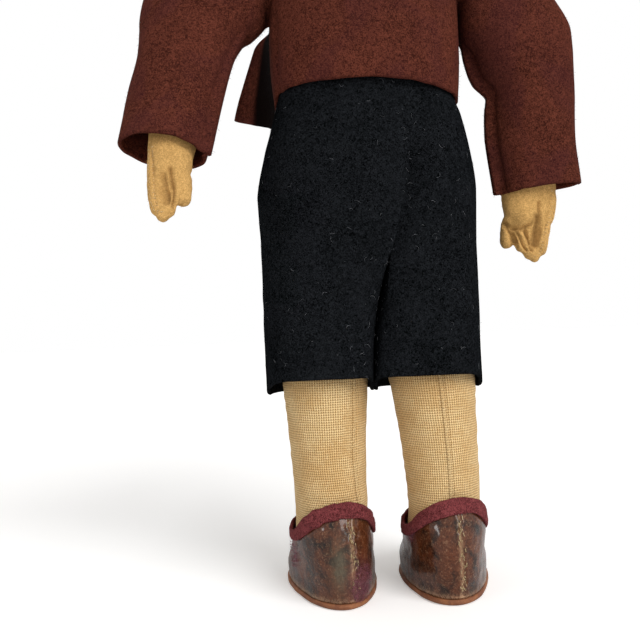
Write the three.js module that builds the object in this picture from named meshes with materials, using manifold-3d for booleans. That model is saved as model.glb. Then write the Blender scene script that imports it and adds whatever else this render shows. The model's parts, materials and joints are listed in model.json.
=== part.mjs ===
// A felt folk doll: a stuffed felt body with disc joints at the neck, shoulders and hips, dressed in a felt
// jacket, felt shorts, knitted stockings and leather slippers. Millimetres, +Z up, standing on its soles,
// facing -Y, with its own left side towards +X.
import * as THREE from "three";
import { mergeVertices } from "three/addons/utils/BufferGeometryUtils.js";
import Module from "manifold-3d";

const wasm = await Module();
wasm.setup();

// Clearances and material thicknesses
const gap = 0.3;
const slack = 0.6;
const jacketFelt = 1.6;
const shortsFelt = 1.6;
const shirtCotton = 0.9;
const knit = 0.8;
const leather = 1.1;
const trimFelt = 1.5;
const soleThickness = 2.2;
const insole = 1.0;
const tongueLeather = 0.9;

// Heights of the joints and garment edges
const hipAxisZ = 168;
const shoulderAxisZ = 262;
const neckZ = 285;
const crownZ = 347;
const waistZ = 214;
const jacketHemZ = 209.4;
const jacketNeckZ = 287;
const jacketCollarSideZ = 283.4;
const jacketCollarBackZ = 276;
const shortsWaistZ = 221;
const shortsHemZ = 85;
const shortsHemLift = 7.5;
const crotchZ = 149;
const stockingTopZ = 112;

// Torso
const torsoBottomZ = 151;
const torsoHipHalfWidth = 12;
const torsoWaistHalfWidth = 31.2;
const torsoWaistHalfDepth = 25.5;
const torsoChestHalfWidth = 33.5;
const torsoChestHalfDepth = 26.5;
const torsoShoulderFaceX = 31;
const neckStumpRadius = 14.6;

// Legs and slippers
const hipFaceX = torsoHipHalfWidth + gap;
const kneeHalfWidth = 17.2;
const ankleHalfWidth = 14.2;
const thighRadius = 17.6;
const legFlatRadius = 34;
const heelBackY = 20.2;
const toeFrontY = -45;
const ballHalfWidth = 16;
const heelHalfWidth = 12.6;
const toeOutFadeZ = [30, 60];
const toplineBackZ = 36.5;
const toplineSideZ = 22;
const toplineInstepZ = 28;
const trimHeight = 5.2;
const tongueTopZ = 40;
const soleMargin = 0.9;
const legs = [
  { side: "left", sign: 1, footX: 20.8, ankleX: 22.2, kneeX: 22.4, toeOut: 8 },
  { side: "right", sign: -1, footX: 26.2, ankleX: 25.8, kneeX: 21.2, toeOut: 2 },
];

// Arms and sleeves. A sleeve's rings are given by their outer and inner ends, [x, z, x, z], and half depth.
const armDiscRadius = 15.6;
const armRadius = 11.2;
const wristHalfDepth = 7;
const fingerRadius = 2.4;
const thumbRadius = 3.2;
const armholeRadius = 19;
const armholeFaceX = 39.6;
const sleeveStartX = 34.4;
const elbowZ = 213;
const arms = [
  {
    side: "left",
    sign: 1,
    swing: 25,
    elbowX: 72.5,
    wrist: [78, 170],
    palmHalfWidth: 9.2,
    fingerSpacing: [2.9, 1.6],
    fingertip: [78, 143],
    thumbTip: [71.8, 150.4],
    sleeve: [
      [58, 279, 41, 240, 18.5],
      [75, 273, 42.5, 236.5, 18],
      [87, 262, 45, 233, 17.2],
      [91.5, 247, 48.5, 229.5, 16.4],
      [92.3, 221.5, 53.5, 215, 14.5],
      [95, 200, 57.2, 196.5, 12.5],
      [97.4, 177.5, 61.4, 170.3, 11.5],
    ],
  },
  {
    side: "right",
    sign: -1,
    swing: 0,
    elbowX: 69,
    wrist: [67.5, 166],
    palmHalfWidth: 11.6,
    fingerSpacing: [3.7, 2.1],
    fingertip: [67, 137],
    thumbTip: [57, 144],
    sleeve: [
      [57.5, 276.5, 40.5, 236, 18.5],
      [72.5, 264, 41.2, 229, 18],
      [82, 248.5, 42.5, 221, 17.2],
      [88.6, 236, 45.5, 212.5, 16.4],
      [89.5, 213, 50.4, 204.5, 14.5],
      [89.2, 190, 49.7, 189.6, 12.5],
      [90, 169.5, 52.4, 165.8, 11.5],
    ],
  },
];

// Jacket and shorts outlines
const jacketHalfWidth = 39;
const jacketHalfDepth = 31;
const jacketHemHalfWidth = 38.1;
const jacketHemTilt = 0.13;
const jacketNeckRadius = 18.4;
const flapLength = 46;
const flapOut = 22.5;
const flapForward = 39;
const flapDrop = 7;
const flapOpenZ = [246, 282];
const waistLayers = gap + shirtCotton + gap + shortsFelt;
const bodySquareness = 2.6;
const shortsHalfWidth = 46.2;
const shortsHalfDepth = 29.5;
const shortsLegHalfDepth = 24.5;
const shortsCentreGap = 0.5;
const shortsHipX = 1.8;
const shortsSplitRadius = 43;

// Head
const headHalfWidth = 26;
const headHalfDepth = 27;
const collarTopZ = 291;
const headNeckRadius = neckStumpRadius - 1.4;
const headHeight = crownZ - neckZ;
const headAt = (share) => neckZ + share * headHeight;
const hairThickness = 2.4;
const eyeRadius = headHalfWidth * 0.104;
const eyeX = headHalfWidth * 0.354;
const eyeZ = headAt(0.55);
const earZ = headAt(0.45);
const noseZ = headAt(0.427);

// Disc joints
const discThickness = 2;
const feltWall = 1.8;
const washerThickness = 0.8;
const washerRadius = 5;
const pinRadius = 1.1;
const pinHoleRadius = 1.6;
const pinEyeRadius = 1.7;
const pinWire = 0.75;
const shoulderDiscRadius = 10.5;
const hipDiscRadius = 11;
const neckDiscRadius = 9.5;
const bodyPocketDepth = 7.8;
const limbPocketDepth = 9.4;

// Facets round each kind of piece, and how far a facet may move to save others
const facetTolerance = 0.06;
const bodySegments = 20;
const garmentSegments = 20;
const legSegments = 16;
const armSegments = 12;
const sleeveSegments = 16;
const discSegments = 12;
const headSegments = 22;
const splitSegments = 24;

const colours = {
  skin_felt: ["#c6965f", 0.95, 0],
  face_felt: ["#d3a878", 0.95, 0],
  jacket_felt: ["#56302a", 0.97, 0],
  shorts_felt: ["#14161a", 0.98, 0],
  stocking_knit: ["#d0aa74", 0.9, 0],
  slipper_leather: ["#4b2a1c", 0.35, 0],
  trim_felt: ["#6d3336", 0.97, 0],
  sole_leather: ["#96603f", 0.7, 0],
  shirt_cotton: ["#d8cfbb", 0.9, 0],
  hair_mohair: ["#6b4a2c", 0.8, 0],
  eye_glass: ["#17110c", 0.1, 0],
  hardboard: ["#8a6a45", 0.9, 0],
  steel: ["#8f9294", 0.35, 0.9],
};
const materials = {};
for (const [slot, [color, roughness, metalness]] of Object.entries(colours)) {
  materials[slot] = new THREE.MeshStandardMaterial({ color, roughness, metalness });
}

// Solids

function closedGeometry(points, faces) {
  let volume = 0;
  for (const [a, b, c] of faces) volume += points[a].dot(points[b].clone().cross(points[c]));
  const facing = volume < 0 ? faces.map(([a, b, c]) => [a, c, b]) : faces;
  return new THREE.BufferGeometry().setFromPoints(points).setIndex(facing.flat());
}

function solid(geometry) {
  const bare = geometry.clone();
  bare.deleteAttribute("normal");
  bare.deleteAttribute("uv");
  const merged = mergeVertices(bare, 1e-4);
  const vertProperties = merged.attributes.position.array;
  const triVerts = new Uint32Array(merged.index.array);
  return new wasm.Manifold(new wasm.Mesh({ numProp: 3, vertProperties, triVerts }));
}

// Two rows of points joined by triangles. The diagonals lean the other way where the rows run backwards,
// so that the two faces of a thin wall match.
function bands(faces, first, second, count, { closed = true, backwards = false } = {}) {
  const last = closed ? count : count - 1;
  for (let j = 0; j < last; j++) {
    const k = (j + 1) % count;
    const [low, lowNext, highNext, high] = [first + j, first + k, second + k, second + j];
    if (backwards) faces.push([low, lowNext, high], [lowNext, highNext, high]);
    else faces.push([low, lowNext, highNext], [low, highNext, high]);
  }
}

// Rings joined into a skin, with a fan over each end. A skin may turn back on itself at a ring.
function loft(rings, turnsBackAt = rings.length) {
  const count = rings[0].length;
  const points = rings.flat();
  const faces = [];
  for (let i = 0; i + 1 < rings.length; i++) {
    bands(faces, i * count, (i + 1) * count, count, { backwards: i >= turnsBackAt });
  }
  const ends = [rings[0], rings[rings.length - 1]];
  const starts = [0, (rings.length - 1) * count];
  ends.forEach((ring, end) => {
    const centre = ring.reduce((sum, p) => sum.add(p), new THREE.Vector3()).divideScalar(count);
    const middle = points.push(centre) - 1;
    for (let j = 0; j < count; j++) {
      const a = starts[end] + j;
      const b = starts[end] + ((j + 1) % count);
      faces.push(end ? [a, b, middle] : [b, a, middle]);
    }
  });
  return solid(closedGeometry(points, faces));
}

// An open-ended tube with a wall, from its outer and inner rings.
function tube(outer, inner) {
  const count = outer[0].length;
  const rings = [...outer, ...[...inner].reverse()];
  const faces = [];
  rings.forEach((ring, i) => {
    const next = ((i + 1) % rings.length) * count;
    bands(faces, i * count, next, count, { backwards: i >= outer.length });
  });
  return solid(closedGeometry(rings.flat(), faces));
}

// A cup: closed below, open above, with a wall.
const cup = (outer, inner) => loft([...outer, ...[...inner].reverse()], outer.length);

// A sheet of cloth with a thickness, from rows of points on its outer face.
function sheet(rows, thickness) {
  const count = rows[0].length;
  const within = (i, end) => THREE.MathUtils.clamp(i, 0, end - 1);
  const at = (i, j) => rows[within(i, rows.length)][within(j, count)];
  const inner = rows.map((row, i) =>
    row.map((p, j) => {
      const across = at(i, j + 1).clone().sub(at(i, j - 1));
      const along = at(i + 1, j).clone().sub(at(i - 1, j));
      return p.clone().addScaledVector(along.cross(across).normalize(), thickness);
    }),
  );
  const faces = [];
  const back = rows.length * count;
  for (let i = 0; i + 1 < rows.length; i++) {
    bands(faces, i * count, (i + 1) * count, count, { closed: false });
    bands(faces, back + (i + 1) * count, back + i * count, count, { closed: false, backwards: true });
    for (const j of [0, count - 1]) {
      const [a, b] = j ? [i * count + j, (i + 1) * count + j] : [(i + 1) * count, i * count];
      faces.push([a, back + a, back + b], [a, back + b, b]);
    }
  }
  for (const i of [0, rows.length - 1]) {
    for (let j = 0; j + 1 < count; j++) {
      const [a, b] = i ? [i * count + j + 1, i * count + j] : [j, j + 1];
      faces.push([a, back + a, back + b], [a, back + b, b]);
    }
  }
  return solid(closedGeometry([...rows.flat(), ...inner.flat()], faces));
}

function block(low, high) {
  const size = high.map((v, i) => v - low[i]);
  const middle = high.map((v, i) => (v + low[i]) / 2);
  return solid(new THREE.BoxGeometry(...size).translate(...middle));
}

// A round bar along X from x0 to x1, centred on the given height.
function barX(x0, x1, radius, y, z, segments = discSegments) {
  const bar = new THREE.CylinderGeometry(radius, radius, x1 - x0, segments).rotateZ(Math.PI / 2);
  return solid(bar.translate((x0 + x1) / 2, y, z));
}

// A smooth curve through [position, value] pairs.
function profile(...knots) {
  return (at) => {
    const last = knots.length - 1;
    if (at <= knots[0][0]) return knots[0][1];
    if (at >= knots[last][0]) return knots[last][1];
    const i = knots.findIndex((knot) => knot[0] > at) - 1;
    const slope = (k) => {
      const [before, after] = [knots[Math.max(k - 1, 0)], knots[Math.min(k + 1, last)]];
      return (after[1] - before[1]) / (after[0] - before[0]);
    };
    const [[x0, y0], [x1, y1]] = [knots[i], knots[i + 1]];
    const [t, w] = [(at - x0) / (x1 - x0), x1 - x0];
    const rise = y1 - y0;
    const limit = (m) => (rise === 0 ? 0 : THREE.MathUtils.clamp(m / (rise / w), 0, 3) * (rise / w));
    const [m0, m1] = [limit(slope(i)), limit(slope(i + 1))];
    const [t2, t3] = [t * t, t * t * t];
    return y0 + rise * (3 * t2 - 2 * t3) + w * (m0 * (t3 - 2 * t2 + t) + m1 * (t3 - t2));
  };
}

const levels = (low, high, count) =>
  Array.from({ length: count }, (_, i) => low + ((high - low) * i) / (count - 1));

// A rounded-square ring in the horizontal plane at height z.
function section(z, halfWidth, halfDepth, squareness, centreX = 0, centreY = 0, count = bodySegments) {
  const ring = [];
  for (let j = 0; j < count; j++) {
    const angle = (2 * Math.PI * j) / count;
    const [c, s] = [Math.cos(angle), Math.sin(angle)];
    const x = Math.sign(c) * Math.abs(c) ** (2 / squareness) * halfWidth;
    const y = Math.sign(s) * Math.abs(s) ** (2 / squareness) * halfDepth;
    ring.push(new THREE.Vector3(centreX + x, centreY + y, z));
  }
  return ring;
}

const mirrored = (manifold, sign) => (sign > 0 ? manifold : manifold.mirror([1, 0, 0]));

// Disc joints: hardboard discs, washers and a split pin. Each is made along +X, with the joint's face at
// x = 0, the limb on the +X side and the body on the -X side.

function ringX(innerRadius, outerRadius, x0, x1, segments = discSegments) {
  const outline = [
    [innerRadius, x0],
    [outerRadius, x0],
    [outerRadius, x1],
    [innerRadius, x1],
    [innerRadius, x0],
  ].map(([r, x]) => new THREE.Vector2(r, x));
  return solid(new THREE.LatheGeometry(outline, segments).rotateZ(-Math.PI / 2));
}

const pinWay = (x0, x1) => ringX(0, pinHoleRadius, x0, x1);

function pocket(discRadius, depth, toward) {
  const [near, far] = [toward * feltWall, toward * (feltWall + depth)];
  const room = barX(Math.min(near, far), Math.max(near, far), discRadius + gap, 0, 0);
  const way = barX(Math.min(-toward, near + toward), Math.max(-toward, near + toward), pinHoleRadius, 0, 0);
  return room.add(way);
}

function joint(discRadius) {
  const disc0 = feltWall + gap;
  const disc1 = disc0 + discThickness;
  const washer0 = disc1 + gap;
  const washer1 = washer0 + washerThickness;
  const limbDisc = ringX(pinHoleRadius, discRadius, disc0, disc1);
  const limbWasher = ringX(pinHoleRadius, washerRadius, washer0, washer1, 8);
  const eye = new THREE.TorusGeometry(pinEyeRadius, pinWire, 4, 7).translate(
    washer1 + gap + pinEyeRadius + pinWire,
    0,
    0,
  );
  const shaft = barX(-washer1 - gap - pinWire, washer1 + gap + pinWire * 1.5, pinRadius, 0, 0, 6);
  // The pin's two legs are bent apart, flat over the washer on the body's side.
  const [bendX, reach] = [-washer1 - gap, pinEyeRadius * 2];
  const legs = block([bendX - pinWire, -reach, -pinRadius], [bendX, reach, pinRadius]);
  return {
    limbDisc,
    limbWasher,
    bodyDisc: limbDisc.mirror([1, 0, 0]),
    bodyWasher: limbWasher.mirror([1, 0, 0]),
    pin: shaft.add(solid(eye)).add(legs),
  };
}

// Torso and shirt

const torsoHalfWidth = profile(
  [torsoBottomZ, torsoHipHalfWidth - 4],
  [torsoBottomZ + 5, torsoHipHalfWidth],
  [hipAxisZ + 20, torsoHipHalfWidth],
  [hipAxisZ + 24, torsoWaistHalfWidth - 3],
  [waistZ, torsoWaistHalfWidth],
  [shoulderAxisZ, torsoChestHalfWidth],
  [shoulderAxisZ + 10, torsoChestHalfWidth - 1],
  [shoulderAxisZ + 15, 27.5],
  [neckZ - 2.5, neckStumpRadius],
);
const torsoSquareness = profile([shoulderAxisZ + 10, bodySquareness], [neckZ - 2.5, 2]);
const torsoHalfDepth = profile(
  [torsoBottomZ, 13],
  [torsoBottomZ + 5, 21],
  [hipAxisZ, 26],
  [waistZ, torsoWaistHalfDepth],
  [shoulderAxisZ - 20, torsoChestHalfDepth],
  [shoulderAxisZ, torsoChestHalfDepth - 2],
  [shoulderAxisZ + 10, 22],
  [shoulderAxisZ + 15, 18.5],
  [neckZ - 2.5, neckStumpRadius],
);

function torsoRings(offset, zs) {
  return zs.map((z) =>
    section(z, torsoHalfWidth(z) + offset, torsoHalfDepth(z) + offset, torsoSquareness(z)),
  );
}

function makeTorso(shoulder, hip, neck) {
  const zs = [
    torsoBottomZ,
    torsoBottomZ + 4,
    hipAxisZ + 10,
    hipAxisZ + 20,
    hipAxisZ + 23,
    hipAxisZ + 30,
    ...levels(waistZ, shoulderAxisZ, 3),
    shoulderAxisZ + 10,
    shoulderAxisZ + 15,
    shoulderAxisZ + 18,
    neckZ - 2.5,
    neckZ,
  ];
  let torso = loft(torsoRings(0, zs));
  for (const sign of [-1, 1]) {
    const [near, far] = [torsoShoulderFaceX, torsoChestHalfWidth + 10].map((x) => sign * x);
    const beyond = block(
      [Math.min(near, far), -armholeRadius, shoulderAxisZ - armDiscRadius - 1],
      [Math.max(near, far), armholeRadius, shoulderAxisZ + armDiscRadius + 1],
    );
    torso = torso.subtract(beyond);
    const shoulderAt = [sign * torsoShoulderFaceX, 0, shoulderAxisZ];
    torso = torso.subtract(mirrored(shoulder, sign).translate(shoulderAt));
    torso = torso.subtract(mirrored(hip, sign).translate([sign * torsoHipHalfWidth, 0, hipAxisZ]));
  }
  return torso.subtract(neck.rotate([0, -90, 0]).translate([0, 0, neckZ]));
}

function makeShirt() {
  const zs = [hipAxisZ + 30, ...levels(waistZ, shoulderAxisZ, 3), shoulderAxisZ + 10];
  zs.push(shoulderAxisZ + 15, shoulderAxisZ + 18, neckZ - 2.5, neckZ - 1);
  let shirt = tube(torsoRings(gap + shirtCotton, zs), torsoRings(gap, zs));
  for (const sign of [-1, 1]) {
    const hole = barX(torsoShoulderFaceX - 8, torsoChestHalfWidth + 4, armDiscRadius + slack, 0, 0, 14);
    shirt = shirt.subtract(mirrored(hole, sign).translate([0, 0, shoulderAxisZ]));
  }
  return shirt;
}

// The shirt's band collar stands round the neck, with its points open at the front.
function makeShirtCollar() {
  const rows = levels(neckZ - 0.4, collarTopZ, 3).map((z, i) => {
    const radius = neckStumpRadius + gap + shirtCotton + 0.5 + i * 0.35;
    return levels(-80, 260, 19).map((degrees) => {
      const angle = THREE.MathUtils.degToRad(degrees);
      return new THREE.Vector3(radius * Math.cos(angle), radius * Math.sin(angle), z);
    });
  });
  return sheet(rows, shirtCotton);
}

// Legs: one form from sole to hip, which the leg, stocking and slipper all follow at their own offsets.

const formBack = profile([2.5, 17.6], [12, heelBackY], [26, 19], [42, 15], [60, 16.2], [stockingTopZ, 17.2]);
const formFront = profile(
  [2.5, toeFrontY + 2],
  [8, toeFrontY],
  [14, toeFrontY + 3],
  [19, toeFrontY + 11],
  [25, -24],
  [32, -17.5],
  [42, -14],
  [60, -15.2],
  [stockingTopZ, -17.2],
);
const formHeelWidth = profile(
  [2.5, heelHalfWidth + 0.6],
  [14, heelHalfWidth + 0.9],
  [30, heelHalfWidth - 0.2],
  [42, ankleHalfWidth],
  [66, ankleHalfWidth + 0.9],
  [90, kneeHalfWidth - 0.2],
  [stockingTopZ, kneeHalfWidth + 0.2],
);
const formBallWidth = profile(
  [2.5, ballHalfWidth],
  [9, ballHalfWidth + 0.6],
  [16, ballHalfWidth - 1.5],
  [24, ankleHalfWidth + 0.8],
  [42, ankleHalfWidth],
  [66, ankleHalfWidth + 0.9],
  [90, kneeHalfWidth - 0.2],
  [stockingTopZ, kneeHalfWidth + 0.2],
);

// The ring of one leg's foot and lower leg at height z, grown by an offset. Angle 0 is its back.
function formRing(leg, z, offset) {
  const centreX = profile([14, leg.footX], [45, leg.ankleX], [stockingTopZ, leg.kneeX])(z);
  const [back, front] = [formBack(z) + offset, formFront(z) - offset];
  const turn = THREE.MathUtils.degToRad(leg.toeOut) * (1 - THREE.MathUtils.smoothstep(z, ...toeOutFadeZ));
  const ring = [];
  for (let j = 0; j < legSegments; j++) {
    const angle = (2 * Math.PI * j) / legSegments;
    const share = (1 - Math.cos(angle)) / 2;
    const blend = THREE.MathUtils.smoothstep(share, 0.15, 0.75);
    const halfWidth = THREE.MathUtils.lerp(formHeelWidth(z), formBallWidth(z), blend) + offset;
    const [x, y] = [halfWidth * Math.sin(angle), back + (front - back) * share];
    const turnedX = x * Math.cos(turn) - y * Math.sin(turn);
    ring.push(new THREE.Vector3(centreX + turnedX, x * Math.sin(turn) + y * Math.cos(turn), z));
  }
  return ring;
}

const footBottomZ = soleThickness + gap + insole + gap + knit + gap;
const formZs = [7, 14, 20, 28, 42, 64, 88, stockingTopZ];
const formLevels = (bottom, top) => [bottom, ...formZs.filter((z) => z > bottom + 1 && z < top), top];
const slipperZs = formZs.slice(1, 5);
const slipperTopZ = slipperZs[3];

function makeLeg(leg, pocketShape) {
  const thigh = [
    [stockingTopZ + 12, leg.kneeX - kneeHalfWidth, kneeHalfWidth + 0.2, 17.4],
    [hipAxisZ - 26, 8, 16.6, 17.6],
    [hipAxisZ - 14, 9.5, 16, thighRadius],
    [hipAxisZ, 10, 15.6, thighRadius],
    [hipAxisZ + 8, 10, 15.2, thighRadius * 0.89],
    [hipAxisZ + 14, 10, 13, thighRadius * 0.6],
    [hipAxisZ + thighRadius - 0.6, 10.5, 7, thighRadius * 0.24],
  ];
  const upper = thigh.map(([z, innerX, halfWidth, halfDepth]) =>
    section(z, halfWidth, halfDepth, 2.3, innerX + halfWidth, 0, legSegments),
  );
  // The upper rings start where the form's do, at the back, going the same way round.
  const quarter = legSegments / 4;
  const turned = upper.map((ring) => ring.map((_, j) => ring[(quarter - j + legSegments) % legSegments]));
  const lower = formLevels(footBottomZ, stockingTopZ).map((z) => formRing(leg, z, 0));
  const inside = barX(-10, hipFaceX, legFlatRadius, 0, hipAxisZ, 20);
  const whole = loft([...lower, ...turned]).subtract(inside);
  return whole.subtract(pocketShape.translate([hipFaceX, 0, hipAxisZ]));
}

function makeStocking(leg) {
  const bottom = footBottomZ - gap;
  const outer = formLevels(bottom - knit, stockingTopZ).map((z) => formRing(leg, z, gap + knit));
  const inner = formLevels(bottom, stockingTopZ).map((z) => formRing(leg, z, gap));
  return cup(outer, inner);
}

const shoeInner = gap + knit + gap + tongueLeather + gap;
const topline = profile(
  [-26, toplineInstepZ],
  [-16, toplineSideZ + 2],
  [-8, toplineSideZ],
  [2, toplineSideZ + 2.5],
  [12, toplineBackZ - 6],
  [20, toplineBackZ],
);

// Everything above the slipper's topline, raised by a lift, up to a height.
function aboveTopline(lift, top = 80) {
  const outline = new THREE.Shape();
  outline.moveTo(-70, topline(-70) + lift);
  for (const y of levels(-28, 24, 14)) outline.lineTo(y, topline(y) + lift);
  outline.lineTo(70, topline(70) + lift).lineTo(70, top).lineTo(-70, top);
  const wide = new THREE.ExtrudeGeometry(outline, { depth: 120, bevelEnabled: false });
  // The outline's own X runs along the foot: turn it to the doll's Y, its Y to Z and its depth to X.
  const turn = new THREE.Matrix4().makeBasis(
    new THREE.Vector3(0, 1, 0),
    new THREE.Vector3(0, 0, 1),
    new THREE.Vector3(1, 0, 0),
  );
  return solid(wide.applyMatrix4(turn).translate(-30, 0, 0));
}

function makeUpper(leg) {
  const bottom = soleThickness + gap;
  const outer = formLevels(bottom, slipperTopZ).map((z) => formRing(leg, z, shoeInner + leather));
  const inner = formLevels(bottom + insole, slipperTopZ).map((z) => formRing(leg, z, shoeInner));
  return cup(outer, inner).subtract(aboveTopline(0));
}

function makeTrim(leg) {
  const outer = slipperZs.map((z) => formRing(leg, z, shoeInner + trimFelt));
  const inner = slipperZs.map((z) => formRing(leg, z, shoeInner));
  return tube(outer, inner).subtract(aboveTopline(trimHeight)).intersect(aboveTopline(gap));
}

function makeTongue(leg) {
  const [inner, outer] = [gap + knit + gap, gap + knit + gap + tongueLeather];
  const skin = tube(
    slipperZs.map((z) => formRing(leg, z, outer)),
    slipperZs.map((z) => formRing(leg, z, inner)),
  );
  return skin.intersect(block([-20, -70, toplineSideZ + 3], [90, -7, tongueTopZ]));
}

function makeSole(leg) {
  const ring = formRing(leg, soleThickness + gap, shoeInner + leather + soleMargin);
  return loft([0, soleThickness].map((z) => ring.map((p) => new THREE.Vector3(p.x, p.y, z))));
}

// Shorts: the seat belongs to the body, and each leg tube below the split turns with its own leg.

const shortsWidth = profile(
  [crotchZ, shortsHalfWidth - 9],
  [hipAxisZ - 6, shortsHalfWidth - 0.3],
  [hipAxisZ, shortsHalfWidth],
  [hipAxisZ + 17, shortsHalfWidth - 3],
  [hipAxisZ + 30, shortsHalfWidth - 6.5],
  [jacketHemZ - 5, torsoHalfWidth(waistZ) + waistLayers + 1.7],
  [waistZ - 2, torsoHalfWidth(waistZ) + waistLayers + 0.3],
  [shortsWaistZ, torsoHalfWidth(shortsWaistZ) + waistLayers],
);
const shortsDepth = profile(
  [crotchZ, shortsLegHalfDepth - 2.5],
  [hipAxisZ - 6, shortsHalfDepth - 1.5],
  [hipAxisZ, shortsHalfDepth],
  [hipAxisZ + 18, shortsHalfDepth + 1],
  [jacketHemZ - 6, torsoHalfDepth(waistZ) + waistLayers + 0.4],
  [waistZ - 2, torsoHalfDepth(waistZ) + waistLayers + 0.3],
  [shortsWaistZ, torsoHalfDepth(shortsWaistZ) + waistLayers],
);
const shortsCentreX = profile([hipAxisZ, shortsHipX], [jacketHemZ - 5, 0]);

function shortsSkin(inset) {
  const zs = [crotchZ + inset, hipAxisZ - 6, hipAxisZ + 18, hipAxisZ + 30, jacketHemZ - 5, waistZ - 2];
  zs.push(shortsWaistZ + (inset ? 1 : 0));
  const hips = zs.map((z) => {
    const [halfWidth, halfDepth] = [shortsWidth(z) - inset, shortsDepth(z) - inset];
    return section(z, halfWidth, halfDepth, bodySquareness, shortsCentreX(z), 0, garmentSegments);
  });
  let skin = loft(hips);
  for (const sign of [-1, 1]) {
    const halfWidth = (shortsHalfWidth + sign * shortsHipX - shortsCentreGap) / 2;
    const centreX = sign * (shortsCentreGap + halfWidth);
    const bottom = shortsHemZ - (inset ? 1 : 0);
    const rings = levels(bottom, hipAxisZ, 4).map((z) =>
      section(z, halfWidth - inset, shortsLegHalfDepth - inset, 2.3, centreX, 0, 14).map((p) => {
        const lift = THREE.MathUtils.smoothstep(p.y, -4, shortsLegHalfDepth) * shortsHemLift;
        const share = 1 - (z - bottom) / (hipAxisZ - bottom);
        return p.setZ(z + (inset ? 0 : lift * share));
      }),
    );
    skin = skin.add(loft(rings));
  }
  return skin;
}

function makeShorts() {
  const whole = shortsSkin(0).subtract(shortsSkin(shortsFelt));
  const splitTop = barX(-90, 90, shortsSplitRadius, 0, hipAxisZ, splitSegments);
  const above = block([-90, -90, hipAxisZ - 20], [90, 90, shortsWaistZ + 20]);
  const seat = whole.intersect(splitTop.add(above));
  const lowerCut = barX(-90, 90, shortsSplitRadius + gap, 0, hipAxisZ, splitSegments).add(above);
  const lower = whole.subtract(lowerCut);
  return {
    seat,
    left: lower.intersect(block([0, -90, 0], [90, 90, hipAxisZ])),
    right: lower.intersect(block([-90, -90, 0], [0, 90, hipAxisZ])),
  };
}

// Arms and sleeves: both go straight out of the shoulder, round the armpit and down to the wrist.

function armRing(x, z, degrees, halfWidth, halfDepth, count, y = 0) {
  const tilt = THREE.MathUtils.degToRad(degrees);
  return levels(0, 2 * Math.PI, count + 1)
    .slice(1)
    .map((angle) => {
      const across = halfWidth * Math.cos(angle);
      const [out, up] = [across * Math.sin(tilt), across * Math.cos(tilt)];
      return new THREE.Vector3(x + out, y + halfDepth * Math.sin(angle), z + up);
    });
}

function sleeveRings(arm, inset) {
  const shoulder = armholeRadius - gap - inset;
  const start = [sleeveStartX, armholeFaceX].map((x) =>
    armRing(x, shoulderAxisZ, 0, shoulder, shoulder, sleeveSegments),
  );
  const rest = arm.sleeve.map(([outerX, outerZ, innerX, innerZ, halfDepth]) => {
    const [acrossX, acrossZ] = [(outerX - innerX) / 2, (outerZ - innerZ) / 2];
    const degrees = THREE.MathUtils.radToDeg(Math.atan2(acrossX, acrossZ));
    const halfWidth = Math.hypot(acrossX, acrossZ) - inset;
    const [x, z] = [innerX + acrossX, innerZ + acrossZ];
    return armRing(x, z, degrees, halfWidth, halfDepth - inset, sleeveSegments);
  });
  return [...start, ...rest];
}

const makeSleeve = (arm) => tube(sleeveRings(arm, 0), sleeveRings(arm, jacketFelt));

// A finger from its root to its tip, as a tapering rounded bar.
function finger(root, tip, radius) {
  const along = tip.clone().sub(root);
  const shares = [
    [0, 0.9],
    [0.7, 1],
    [0.94, 0.6],
  ];
  const turn = new THREE.Quaternion().setFromUnitVectors(
    new THREE.Vector3(0, 0, -1),
    along.clone().normalize(),
  );
  const rings = shares.map(([share, size]) =>
    levels(0, 2 * Math.PI, 8)
      .slice(1)
      .map((angle) =>
        new THREE.Vector3(Math.cos(angle), Math.sin(angle), 0)
          .multiplyScalar(radius * size)
          .applyQuaternion(turn)
          .add(root.clone().addScaledVector(along, share)),
      ),
  );
  return loft(rings);
}

// Rings that fan round the armpit from the shoulder's upright face to the tilt of the upper arm.
function armpitFan(pivotX, pivotZ, sizes) {
  return sizes.map(([degrees, reach, halfDepth]) => {
    const tilt = THREE.MathUtils.degToRad(degrees);
    const [x, z] = [pivotX + reach * Math.sin(tilt), pivotZ + reach * Math.cos(tilt)];
    return armRing(x, z, degrees, reach - 0.4, halfDepth, armSegments);
  });
}

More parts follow.
